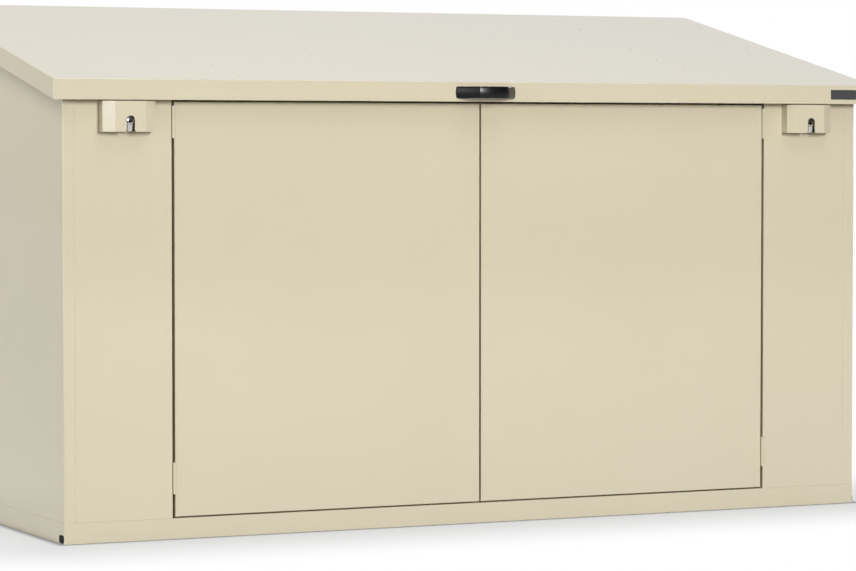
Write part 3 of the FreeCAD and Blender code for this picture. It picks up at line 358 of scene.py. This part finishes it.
SEAM_DEPTH = 0.416
SEAM_LEVELS = (0.160, 0.510, 0.860)
seam_bolt = bolt(SEAM_GRIP)
bolts = [copy_to(seam_bolt, (hand * SEAM_LINE, end * SEAM_DEPTH, level), (0, hand * math.pi / 2, 0))
         for hand in SIDES.values() for end in (-1, 1) for level in SEAM_LEVELS]
drop(seam_bolt)
seam_bolts = join("hexagon_seam_bolts", bolts)
seam_bolts.data.materials.append(zinc_plate)
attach(seam_bolts, "cabinet")
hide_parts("seam_bolts")

FLOOR_LEVEL = 0.045
FLOOR_SPOTS = ((0.9756, -0.243), (0.9756, 0.243), (0.635, 0.4136), (0.8527, -0.4136))
floor_bolt = bolt(FLOOR_GRIP)
bolts = [copy_to(floor_bolt, (hand * x, y, FLOOR_LEVEL)) for hand in SIDES.values() for x, y in FLOOR_SPOTS]
drop(floor_bolt)
floor_bolts = join("hexagon_floor_bolts", bolts)
floor_bolts.data.materials.append(zinc_plate)
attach(floor_bolts, "cabinet")
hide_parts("floor_bolts")

# Doors: pans folded from the same sheet, each with a hat-section stiffener spot-welded behind it.
# They hang on barrel hinges that were welded on before the paint, with plated pins put in after it.
for word in SIDES:
    dress(powder_coat, [f"door_{word}_skin", f"door_{word}_stiffener"])
    dress(powder_coat, [f"door_hinge_frame_leaves_{word}", f"door_hinge_door_leaves_{word}"])
dress(zinc_plate, ["door_hinge_pins"])

# Lid: a folded tray with ribs spot-welded under it, hinged along the top of the back panel.
# Each spot weld leaves a shallow blister in the painted top.
RIBS = [f"lid_rib_{row}_{word}" for row in ("outer", "inner") for word in SIDES]
dress(powder_coat, ["lid_skin", "lid_hinge_frame_leaves", "lid_hinge_lid_leaves", *RIBS])
dress(zinc_plate, ["lid_hinge_pins"])

WELD_RADIUS = 0.005
WELD_HEIGHT = 0.0008
WELD_SLOPE = 0.35 * WELD_RADIUS
WELD_RISE = 0.5 * WELD_HEIGHT
WELD_SHOULDER = 0.3 * WELD_RADIUS
WELD_CROWN = 0.2 * WELD_HEIGHT
WELD_SIDES = 16
WELDS_PER_RIB = 7
WELD_PITCH = 0.136
FIRST_WELD = 0.036
RIB_LINES = (-0.6, -0.3, 0.3, 0.6)
# Four welds of a strut's bracket and one of a catch, by their X and how far back from the lid's front edge.
BRACKET_WELDS = ((0.890, 0.392), (0.958, 0.392), (0.890, 0.488), (0.958, 0.488), (0.9, 0.036))
LID_FRONT = -0.467
LID_EDGE = 0.995
LID_RISE_PER_METRE = 0.2117
LID_SLOPE = math.atan(LID_RISE_PER_METRE)
bpy.ops.object.select_all(action="DESELECT")
bpy.ops.mesh.primitive_cylinder_add(vertices=WELD_SIDES, radius=WELD_RADIUS, depth=WELD_HEIGHT,
                                    location=(0, 0, 0))
weld = bpy.context.object
bpy.ops.object.mode_set(mode="EDIT")
choose(weld, "FACE", lambda face: face.normal.z > FACING)
bpy.ops.mesh.inset(thickness=WELD_SLOPE)
bpy.ops.transform.translate(value=(0, 0, WELD_RISE))
bpy.ops.mesh.inset(thickness=WELD_SHOULDER)
bpy.ops.transform.translate(value=(0, 0, WELD_CROWN))
bpy.ops.object.mode_set(mode="OBJECT")
weld_spots = [(line, FIRST_WELD + step * WELD_PITCH) for line in RIB_LINES
              for step in range(WELDS_PER_RIB)]
weld_spots += [(hand * x, back) for hand in SIDES.values() for x, back in BRACKET_WELDS]
welds = []
for across, back in weld_spots:
    place = (across, LID_FRONT + back * math.cos(LID_SLOPE), LID_EDGE + back * math.sin(LID_SLOPE))
    welds.append(copy_to(weld, place, (LID_SLOPE, 0, 0)))
drop(weld)
weld_marks = join("spot_weld_marks", welds)
weld_marks.data.materials.append(powder_coat)
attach(weld_marks, "lid")

# Gas struts: painted steel tubes with a crimped gland, each with a ground and polished rod.
# They stand between a stud on the side panel and a bracket spot-welded under the lid.

# Black stoving paint: a semi-gloss black that greys a little where the spray lay thin.
PAINT_BLACK = "#111112"
PAINT_THIN = "#1b1b1c"
SPRAY_PATCH = 14
strut_paint, tree, shader, spot = coating("black stoving paint", {})
spray = add(tree, "ShaderNodeTexNoise", {}, {"Vector": spot, "Scale": per(SPRAY_PATCH), "Detail": 3.0})
thin = add(tree, "ShaderNodeMix", BLEND, {SHARE: spray.outputs["Fac"], FIRST: linear(PAINT_BLACK),
                                          SECOND: linear(PAINT_THIN)})
tree.links.new(thin.outputs[BLENDED], shader.inputs["Base Color"])
wet = add(tree, "ShaderNodeMapRange", {}, {"Value": spray.outputs["Fac"], "To Min": 0.25, "To Max": 0.4})
tree.links.new(wet.outputs["Result"], shader.inputs["Roughness"])

# Ground and polished rod: nearly a mirror, dulled in patches by a film of oil.
ROD_BRIGHT = "#d0d2d4"
ROD_OILED = "#b8b8b4"
OIL_PATCH = 20
rod_steel, tree, shader, spot = coating("ground and polished steel", {"Metallic": 1.0})
oil = add(tree, "ShaderNodeTexNoise", {}, {"Vector": spot, "Scale": per(OIL_PATCH), "Detail": 3.0})
oiled = add(tree, "ShaderNodeMix", BLEND, {SHARE: oil.outputs["Fac"], FIRST: linear(ROD_BRIGHT),
                                           SECOND: linear(ROD_OILED)})
tree.links.new(oiled.outputs[BLENDED], shader.inputs["Base Color"])
lapped = add(tree, "ShaderNodeMapRange", {}, {"Value": oil.outputs["Fac"], "To Min": 0.06, "To Max": 0.16})
tree.links.new(lapped.outputs["Result"], shader.inputs["Roughness"])
for word in SIDES:
    dress(strut_paint, [f"strut_tube_{word}", f"strut_gland_{word}"])
    dress(rod_steel, [f"strut_rod_{word}"])
    dress(galvanised, [f"strut_wall_stud_{word}", f"strut_lid_bracket_{word}"])

# Locks: a painted housing on each front panel, a nickel-plated profile cylinder on a bracket in it.
# A plug with a dished face turns in the cylinder and carries the cam that holds down the lid's catch.
# Both faces are domed, the plug's more, so they mirror the dark room above and the white floor below.

# Satin nickel plate: a warm white metal, brushed before plating so that its reflections blur a little.
# Single brush marks are too fine to show, so their patches are drawn at 3 mm.
NICKEL_BRIGHT = "#dcdad5"
NICKEL_WARM = "#c9c4ba"
BRUSH_PATCH = 3
nickel, tree, shader, spot = coating("satin nickel plate", {"Metallic": 1.0})
brushed = add(tree, "ShaderNodeTexNoise", {}, {"Vector": spot, "Scale": per(BRUSH_PATCH), "Detail": 3.0})
tint = add(tree, "ShaderNodeMix", BLEND, {SHARE: brushed.outputs["Fac"], FIRST: linear(NICKEL_BRIGHT),
                                          SECOND: linear(NICKEL_WARM)})
tree.links.new(tint.outputs[BLENDED], shader.inputs["Base Color"])
satin = add(tree, "ShaderNodeMapRange", {}, {"Value": brushed.outputs["Fac"], "To Min": 0.07, "To Max": 0.12})
tree.links.new(satin.outputs["Result"], shader.inputs["Roughness"])

# Painted shade inside the dish, the keyway and the ring round the plug: a nearly black steel in patches, with
# an oily shine.
PAINTED_SHADE_BLACK = "#161514"
PAINTED_SHADE_GREY = "#2a2826"
SHADE_PATCH = 2
painted_recess_shade, tree, shader, spot = coating("nearly black steel as painted shade", {"Metallic": 0.6})
shade_patches = add(tree, "ShaderNodeTexNoise", {}, {"Vector": spot, "Scale": per(SHADE_PATCH), "Detail": 2.0})
dark = add(tree, "ShaderNodeMix", BLEND, {SHARE: shade_patches.outputs["Fac"], FIRST: linear(PAINTED_SHADE_BLACK),
                                          SECOND: linear(PAINTED_SHADE_GREY)})
tree.links.new(dark.outputs[BLENDED], shader.inputs["Base Color"])
oily = add(tree, "ShaderNodeMapRange", {}, {"Value": shade_patches.outputs["Fac"], "To Min": 0.35, "To Max": 0.55})
tree.links.new(oily.outputs["Result"], shader.inputs["Roughness"])

LOCK_SPOT = (0.849, -0.461, 0.905)
CORE_RADIUS = 0.0065
CORE_LENGTH = 0.04
CORE_DOME = 0.06
DISH_RADIUS = 0.0039
DISH_DEPTH = 0.0025
KEYWAY = ((-0.001, 0, -0.0045), (0.001, 0.022, 0.0045))
BARREL_RADIUS = 0.0085
LEG = ((-0.005, 0, -0.022), (0.005, 0.04, 0))
LEG_TOE = 0.0048
CAM_SLOT = ((-0.017, 0.024, -0.0159), (0.017, 0.032, 0.017))
CYLINDER_DOME = 0.11
RING_WIDTH = 0.0009
RING_DEPTH = 0.0008
CORE_CLEARANCE = 0.0002
CUT_PAST = 0.01
ROD_SIDES = 48
BALL_SIDES = 160
BALL_RINGS = 80


def rod(radius, start, end):
    """A round bar along Y between two depths."""
    bpy.ops.object.select_all(action="DESELECT")
    bpy.ops.mesh.primitive_cylinder_add(vertices=ROD_SIDES, radius=radius, depth=end - start,
                                        location=(0, (start + end) / 2, 0), rotation=(math.pi / 2, 0, 0))
    bpy.ops.object.transform_apply(location=True, rotation=True, scale=True)
    return bpy.context.object


def ball(radius):
    """A ball that touches the plane where Y is zero."""
    bpy.ops.object.select_all(action="DESELECT")
    bpy.ops.mesh.primitive_uv_sphere_add(segments=BALL_SIDES, ring_count=BALL_RINGS, radius=radius,
                                         location=(0, radius, 0))
    bpy.ops.object.transform_apply(location=True, rotation=True, scale=True)
    return bpy.context.object


def combine(piece, tool, operation, material):
    """Adds the tool's shape to the piece, cuts it away or keeps what both share, in that material."""
    tool.data.materials.append(material)
    take(piece)
    change = piece.modifiers.new("shape", "BOOLEAN")
    change.operation = operation
    change.object = tool
    change.material_mode = "TRANSFER"
    bpy.ops.object.modifier_apply(modifier="shape")
    drop(tool)


# The plug: a round bar with a domed face, a dish in it and a keyway.
core = rod(CORE_RADIUS, 0, CORE_LENGTH)
core.data.materials.append(nickel)
combine(core, ball(CORE_DOME), "INTERSECT", nickel)
# The dish and the keyway are lined with the nearly black steel, as painted shade.
combine(core, rod(DISH_RADIUS, -DISH_DEPTH, DISH_DEPTH), "DIFFERENCE", painted_recess_shade)
combine(core, box(*KEYWAY), "DIFFERENCE", painted_recess_shade)

# The cylinder: a barrel and its leg with one domed face, bored for the plug and slotted for the cam.
leg = box(*LEG)
bpy.ops.object.mode_set(mode="EDIT")
choose(leg, "EDGE", lambda edge: along(edge, "Y") and edge.verts[0].co.z < LEG[0][2] / 2)
bpy.ops.mesh.bevel(offset=LEG_TOE, segments=8)
bpy.ops.object.mode_set(mode="OBJECT")
barrel = rod(BARREL_RADIUS, 0, CORE_LENGTH)
barrel.data.materials.append(nickel)
combine(barrel, leg, "UNION", nickel)
combine(barrel, rod(CORE_RADIUS + CORE_CLEARANCE, -CUT_PAST, CORE_LENGTH + CUT_PAST), "DIFFERENCE", nickel)
# The ring round the plug is lined with the nearly black steel, as painted shade.
combine(barrel, rod(CORE_RADIUS + RING_WIDTH, -CUT_PAST, RING_DEPTH), "DIFFERENCE", painted_recess_shade)
combine(barrel, box(*CAM_SLOT), "DIFFERENCE", nickel)
combine(barrel, ball(CYLINDER_DOME), "INTERSECT", nickel)

for word, hand in SIDES.items():
    place = (hand * LOCK_SPOT[0], *LOCK_SPOT[1:])
    plug = join(f"dished_plug_{word}", [copy_to(core, place)])
    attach(plug, f"lock_{word}")
    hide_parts(f"lock_plug_{word}")
    cylinder = join(f"domed_cylinder_{word}", [copy_to(barrel, place)])
    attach(cylinder, "cabinet")
    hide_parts(f"lock_cylinder_{word}")
    dress(powder_coat, [f"lock_housing_{word}"])
    dress(galvanised, [f"lock_bracket_{word}", f"lock_cam_{word}", f"lid_catch_{word}"])
drop(core)
drop(barrel)

# Pull handle: a bow moulded in satin black plastic, its outer face crowned and its rims rounded.
# Two screws from behind the fascia hold its feet.

# Satin moulded plastic: deep black with a finely etched skin that blurs the lights it mirrors.
# The melt's flow marks grey it slightly in patches.
MOULDED_BLACK = "#0b0b0c"
MOULDED_GREY = "#121213"
FLOW_MARK = 16
black_plastic, tree, shader, spot = coating("satin black moulded plastic", {"Specular IOR Level": 0.28})
flow = add(tree, "ShaderNodeTexNoise", {}, {"Vector": spot, "Scale": per(FLOW_MARK), "Detail": 3.0})
skin = add(tree, "ShaderNodeMix", BLEND, {SHARE: flow.outputs["Fac"], FIRST: linear(MOULDED_BLACK),
                                          SECOND: linear(MOULDED_GREY)})
tree.links.new(skin.outputs[BLENDED], shader.inputs["Base Color"])
shine = add(tree, "ShaderNodeMapRange", {}, {"Value": flow.outputs["Fac"], "To Min": 0.22, "To Max": 0.3})
tree.links.new(shine.outputs["Result"], shader.inputs["Roughness"])

HANDLE_SPOT = (-0.006, -0.467, 0.9715)
HANDLE_HEIGHT = 0.0265
HANDLE_BAR = 0.01
HANDLE_RIM = 0.0035
HANDLE_CROWN = 0.0011
CROWN_BAND = 0.007
CROWN_RIDGE = 0.001
CROWN_SHARE = 0.75
HANDLE_FOOT = 0.0735
CREASE_SPAN = 0.035
CREASE_DEPTH = 0.0405
CREASE_SOFT = 0.0012
BOW_RISE = 0.0035
BOW_REACH = 0.01
BOW_STEPS = 14
LEG_OVERRUN = 0.3
TOUCHING = 0.00001

# The bar's cross-section: a rounded rectangle with a crowned outer side.
bpy.ops.object.select_all(action="DESELECT")
bpy.ops.mesh.primitive_plane_add(size=1, location=(0, 0, 0), rotation=(0, math.pi / 2, 0))
bow = bpy.context.object
bpy.ops.object.transform_apply(location=True, rotation=True, scale=True)
bow.scale = (1, HANDLE_BAR, HANDLE_HEIGHT)
bow.location = (0, HANDLE_BAR / 2, 0)
bpy.ops.object.transform_apply(location=True, rotation=True, scale=True)
bpy.ops.object.mode_set(mode="EDIT")
choose(bow, "EDGE", lambda edge: along(edge, "Z"))
bpy.ops.mesh.bevel(offset=HANDLE_RIM, segments=5, affect="VERTICES")
choose(bow, "EDGE", lambda edge: along(edge, "Z") and max(vert.co.y for vert in edge.verts) < TOUCHING)
bpy.ops.mesh.subdivide(number_cuts=3)
choose(bow, "VERT", lambda vert: vert.co.y < TOUCHING and abs(vert.co.z) < CROWN_BAND)
bpy.ops.transform.translate(value=(0, -CROWN_SHARE * HANDLE_CROWN, 0))
choose(bow, "VERT", lambda vert: vert.co.y < TOUCHING and abs(vert.co.z) < CROWN_RIDGE)
bpy.ops.transform.translate(value=(0, (CROWN_SHARE - 1) * HANDLE_CROWN, 0))

# The bar's path: a leg from behind the fascia to the left crease, a shallow bow, and the other leg.
bow_radius = (CREASE_SPAN ** 2 + BOW_RISE ** 2) / (2 * BOW_RISE)
bow_angle = math.asin(CREASE_SPAN / bow_radius)
bow_centre = bow_radius - CREASE_DEPTH - BOW_RISE
start = (-HANDLE_FOOT - LEG_OVERRUN * (HANDLE_FOOT - CREASE_SPAN), LEG_OVERRUN * CREASE_DEPTH)
stops = [start]
for step in range(BOW_STEPS + 1):
    angle = bow_angle * (2 * step / BOW_STEPS - 1)
    stops.append((bow_radius * math.sin(angle), bow_centre - bow_radius * math.cos(angle)))
# The right-hand corner is a wide curve: from the bow, past the crease, to a point on the leg.
stops = [stop for stop in stops if stop[0] < CREASE_SPAN - BOW_REACH]
bend = (stops[-1], (CREASE_SPAN, -CREASE_DEPTH), (CREASE_SPAN + BOW_REACH, -CREASE_DEPTH + BOW_REACH))
for step in range(1, BOW_STEPS + 1):
    part = step / BOW_STEPS
    weights = ((1 - part) ** 2, 2 * part * (1 - part), part ** 2)
    stops.append(tuple(sum(weight * point[axis] for weight, point in zip(weights, bend)) for axis in (0, 1)))
stops.append((-start[0], start[1]))
bpy.ops.mesh.select_mode(type="FACE")
bpy.ops.mesh.select_all(action="SELECT")
bpy.ops.transform.translate(value=(*start, 0))
for here, there in zip(stops, stops[1:]):
    bpy.ops.mesh.extrude_region_move(
        TRANSFORM_OT_translate={"value": (there[0] - here[0], there[1] - here[1], 0)})
choose(bow, "EDGE", lambda edge: all(abs(vert.co.x + CREASE_SPAN) < TOUCHING for vert in edge.verts))
bpy.ops.mesh.bevel(offset=CREASE_SOFT, segments=3)
# Both legs are cut off flush with the fascia.
bpy.ops.mesh.select_all(action="SELECT")
bpy.ops.mesh.bisect(plane_co=(0, 0, 0), plane_no=(0, 1, 0), use_fill=True, clear_outer=True)
bpy.ops.mesh.select_all(action="SELECT")
bpy.ops.mesh.normals_make_consistent(inside=False)
bpy.ops.transform.translate(value=HANDLE_SPOT)
bpy.ops.object.mode_set(mode="OBJECT")
handle = join("crowned_bow", [bow])
handle.data.materials.append(black_plastic)
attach(handle, "lid")
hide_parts("pull_handle")
dress(zinc_plate, ["handle_screws"])

# Blank plate: a thin strip of sheet metal, stuck to the right end of the fascia.
# It is cut square and lacquered dark grey all over.

# Dark grey satin lacquer: an even film with a faint grain that breaks up its sheen.
PLATE_GREY = "#3f3f40"
PLATE_DEEP = "#363637"
LACQUER_GRAIN = 4
dark_plate, tree, shader, spot = coating("dark grey satin lacquer", {})
grain = add(tree, "ShaderNodeTexNoise", {}, {"Vector": spot, "Scale": per(LACQUER_GRAIN), "Detail": 2.0})
lacquer = add(tree, "ShaderNodeMix", BLEND, {SHARE: grain.outputs["Fac"], FIRST: linear(PLATE_DEEP),
                                             SECOND: linear(PLATE_GREY)})
tree.links.new(lacquer.outputs[BLENDED], shader.inputs["Base Color"])
matt = add(tree, "ShaderNodeMapRange", {}, {"Value": grain.outputs["Fac"], "To Min": 0.4, "To Max": 0.55})
tree.links.new(matt.outputs["Result"], shader.inputs["Roughness"])
dress(dark_plate, ["blank_plate"])

# Studio: a sheet of white paper on the floor, a white wall behind and a dark room in front.
# The paper ends some way in front of the shed, so the lower half of the doors mirrors it
# and the upper half mirrors the dark room.

# White studio paper: the camera and mirroring surfaces see it as an even white glow. A painted shadow
# fades the glow beside the shed and takes it away in the line where the shed stands, so the matt paper shows
# there with the lamps' own shadows. Mirrored, the glow is dimmer, and dimmer again on the left as painted
# shade.
# All other light meets matt grey paper, or the room's dark floor past the paper's end.
FLOOR_WIDTH = 60
PAPER_GREY = "#a0a0a0"
ROOM_FLOOR = "#202020"
PAPER_END = -12.5
PAPER_FADE = 1.5
FOOTPRINT = (0.99, 0.428, 0)
SHADE_START = -0.05
SHADE_END = 0.5
SHADE_DEEPEST = 0.6
TOUCH_START = 0.004
TOUCH_END = 0.026
DIMMED_START = -0.6
DIMMED_END = -1.6
PAPER_MIRRORED = 0.75
PAPER_DIMMED = 0.5
bpy.ops.object.select_all(action="DESELECT")
bpy.ops.mesh.primitive_plane_add(size=FLOOR_WIDTH, location=(0, 0, 0))
floor = bpy.context.object
floor.name = "floor"
paper = bpy.data.materials.new("white studio paper")
paper.use_nodes = True
tree = paper.node_tree
tree.nodes.remove(tree.nodes["Principled BSDF"])
spot = add(tree, "ShaderNodeTexCoord").outputs["Object"]
path = add(tree, "ShaderNodeLightPath")
# How far a spot lies outside the shed's footprint.
folded = add(tree, "ShaderNodeVectorMath", {"operation": "ABSOLUTE"}, {0: spot})
past = add(tree, "ShaderNodeVectorMath", {"operation": "SUBTRACT"}, {0: folded.outputs[0], 1: FOOTPRINT})
beside = add(tree, "ShaderNodeVectorMath", {"operation": "MAXIMUM"}, {0: past.outputs[0], 1: (0, 0, 0)})
away = add(tree, "ShaderNodeVectorMath", {"operation": "LENGTH"}, {0: beside.outputs[0]})
# Painted shadow: the nearer the shed, the less of the white glow.
painted_shadow = add(tree, "ShaderNodeMapRange", {"interpolation_type": "SMOOTHSTEP"}, {
    "Value": away.outputs["Value"], "From Min": SHADE_START, "From Max": SHADE_END,
    "To Min": SHADE_DEEPEST, "To Max": 1.0})
# Painted contact shadow along the line where the shed stands.
touch = add(tree, "ShaderNodeMapRange", {}, {"Value": away.outputs["Value"], "From Min": TOUCH_START,
                                             "From Max": TOUCH_END})
fade = add(tree, "ShaderNodeMath", {"operation": "MULTIPLY"}, {0: painted_shadow.outputs["Result"],
                                                               1: touch.outputs["Result"]})
axes = add(tree, "ShaderNodeSeparateXYZ", {}, {"Vector": spot})
ahead = add(tree, "ShaderNodeMapRange", {}, {"Value": axes.outputs["Y"], "From Min": PAPER_END - PAPER_FADE,
                                             "From Max": PAPER_END + PAPER_FADE})
# Painted shade on the left, seen only in reflections.
dimmed = add(tree, "ShaderNodeMapRange", {}, {
    "Value": axes.outputs["X"], "From Min": DIMMED_END, "From Max": DIMMED_START,
    "To Min": PAPER_DIMMED, "To Max": PAPER_MIRRORED})
reflected = add(tree, "ShaderNodeMath", {"operation": "MULTIPLY"}, {0: path.outputs["Is Glossy Ray"],
                                                                    1: dimmed.outputs["Result"]})
reflected_paper = add(tree, "ShaderNodeMath", {"operation": "MULTIPLY"}, {0: reflected.outputs[0],
                                                                          1: ahead.outputs["Result"]})
shown = add(tree, "ShaderNodeMath", {"operation": "MAXIMUM"}, {0: path.outputs["Is Camera Ray"],
                                                               1: reflected_paper.outputs[0]})
share = add(tree, "ShaderNodeMath", {"operation": "MULTIPLY"}, {0: shown.outputs[0], 1: fade.outputs[0]})
ground = add(tree, "ShaderNodeMix", BLEND, {SHARE: ahead.outputs["Result"], FIRST: linear(ROOM_FLOOR),
                                            SECOND: linear(PAPER_GREY)})
matt_paper = add(tree, "ShaderNodeBsdfDiffuse", {}, {"Color": ground.outputs[BLENDED]})
white_paper = add(tree, "ShaderNodeEmission", {}, {"Strength": 1.0})
sheet = add(tree, "ShaderNodeMixShader", {}, {0: share.outputs[0], 1: matt_paper.outputs[0],
                                              2: white_paper.outputs[0]})
tree.links.new(sheet.outputs[0], tree.nodes["Material Output"].inputs["Surface"])
floor.data.materials.append(paper)

# Backdrop: the camera sees plain white all round. Mirroring surfaces see the wall behind, which is brighter
# to the right, and the dark room in front. As light on the shed, both are dim.
WALL_LEFT = 0.46
WALL_RIGHT = 0.82
WALL_LEFT_END = -0.3
WALL_RIGHT_END = 0.4
ROOM_EDGE = -0.1
WALL_EDGE = 0.25
ROOM_MIRRORED = 0.1
ROOM_LIGHT = 0.02
WALL_LIGHT = 0.25
# A number mix node's two values, by socket number. Its share has the same number as a colour mix's.
LOW, HIGH = 2, 3
world = bpy.data.worlds.new("studio")
bpy.context.scene.world = world
world.use_nodes = True
tree = world.node_tree
backdrop = tree.nodes["Background"]
path = add(tree, "ShaderNodeLightPath")
direction = add(tree, "ShaderNodeTexCoord").outputs["Generated"]
axes = add(tree, "ShaderNodeSeparateXYZ", {}, {"Vector": direction})
wall = add(tree, "ShaderNodeMapRange", {}, {
    "Value": axes.outputs["X"], "From Min": WALL_LEFT_END, "From Max": WALL_RIGHT_END,
    "To Min": WALL_LEFT, "To Max": WALL_RIGHT})
depth = add(tree, "ShaderNodeMapRange", {}, {"Value": axes.outputs["Y"], "From Min": ROOM_EDGE,
                                             "From Max": WALL_EDGE})
view = add(tree, "ShaderNodeMix", {}, {SHARE: depth.outputs["Result"], LOW: ROOM_MIRRORED,
                                       HIGH: wall.outputs["Result"]})
glow = add(tree, "ShaderNodeMix", {}, {SHARE: depth.outputs["Result"], LOW: ROOM_LIGHT, HIGH: WALL_LIGHT})
mirrored = add(tree, "ShaderNodeMix", {}, {SHARE: path.outputs["Is Glossy Ray"], LOW: glow.outputs[0],
                                           HIGH: view.outputs[0]})
seen = add(tree, "ShaderNodeMath", {"operation": "MAXIMUM"}, {0: path.outputs["Is Camera Ray"],
                                                              1: path.outputs["Is Transmission Ray"]})
strength = add(tree, "ShaderNodeMath", {"operation": "MAXIMUM"}, {0: seen.outputs[0], 1: mirrored.outputs[0]})
backdrop.inputs["Color"].default_value = (1, 1, 1, 1)
tree.links.new(strength.outputs[0], backdrop.inputs["Strength"])

# Lamps: softboxes, each turned to a target on the shed. The front one and the high fill light the doors,
# and the lid shades them from the high one, most of all near the fascia. Those on the left light the side
# panel, the right rear one lights the back and the right side, and the overhead one evens out the roof.


def softbox(name, spot, target, width, height, watts):
    """A rectangular lamp of that width and height."""
    lamp = bpy.data.lights.new(name, "AREA")
    lamp.shape = "RECTANGLE"
    lamp.size = width
    lamp.size_y = height
    lamp.energy = watts
    holder = bpy.data.objects.new(name, lamp)
    bpy.context.scene.collection.objects.link(holder)
    holder.location = spot
    holder.rotation_euler = (Vector(target) - Vector(spot)).to_track_quat("-Z", "Y").to_euler()


softbox("front softbox", (0.2, -9.6, 2.75), (0, -0.4, 0.6), width=1.8, height=2.2, watts=610)
softbox("high fill", (0.0, -3.0, 4.3), (0, -0.4, 0.6), width=1.6, height=3.2, watts=50)
softbox("left strip", (-6.2, -8.9, 1.65), (-0.9, -0.45, 0.9), width=2.2, height=1.5, watts=42)
softbox("left card", (-6.0, -2.9, 1.9), (-0.9, -0.45, 0.9), width=1.5, height=1.5, watts=36)
softbox("left rear softbox", (-6.0, 2.6, 1.1), (-1.0, 0, 0.6), width=2.5, height=1.8, watts=92)
softbox("left high softbox", (-4.0, 0.4, 4.7), (-1.0, 0, 0.7), width=2.5, height=2.5, watts=138)
softbox("right rear softbox", (6.0, 3.2, 2.0), (1.0, 0, 0.6), width=2.5, height=2.5, watts=160)
softbox("overhead softbox", (1.5, 0.9, 5.0), (0.6, 0.2, 1.1), width=2.4, height=1.6, watts=12)

# Camera: stands at the photograph's place, to the left of the shed and nearly as high as its locks.
# Its long lens frames the shed as the photograph does.
CAMERA_SPOT = (-3.28770, -7.13765, 0.85442)
CAMERA_TILT = 2.4314
CAMERA_TURN = 25.1989
CAMERA_LENS = 139.256
SENSOR_WIDTH = 36
FARTHEST = 200
lens = bpy.data.cameras.new("camera")
lens.sensor_width = SENSOR_WIDTH
lens.lens = CAMERA_LENS
lens.clip_end = FARTHEST
camera = bpy.data.objects.new("camera", lens)
bpy.context.scene.collection.objects.link(camera)
camera.location = CAMERA_SPOT
camera.rotation_euler = (math.radians(90 - CAMERA_TILT), 0, -math.radians(CAMERA_TURN))
bpy.context.scene.camera = camera
bpy.context.scene.view_settings.view_transform = "Standard"
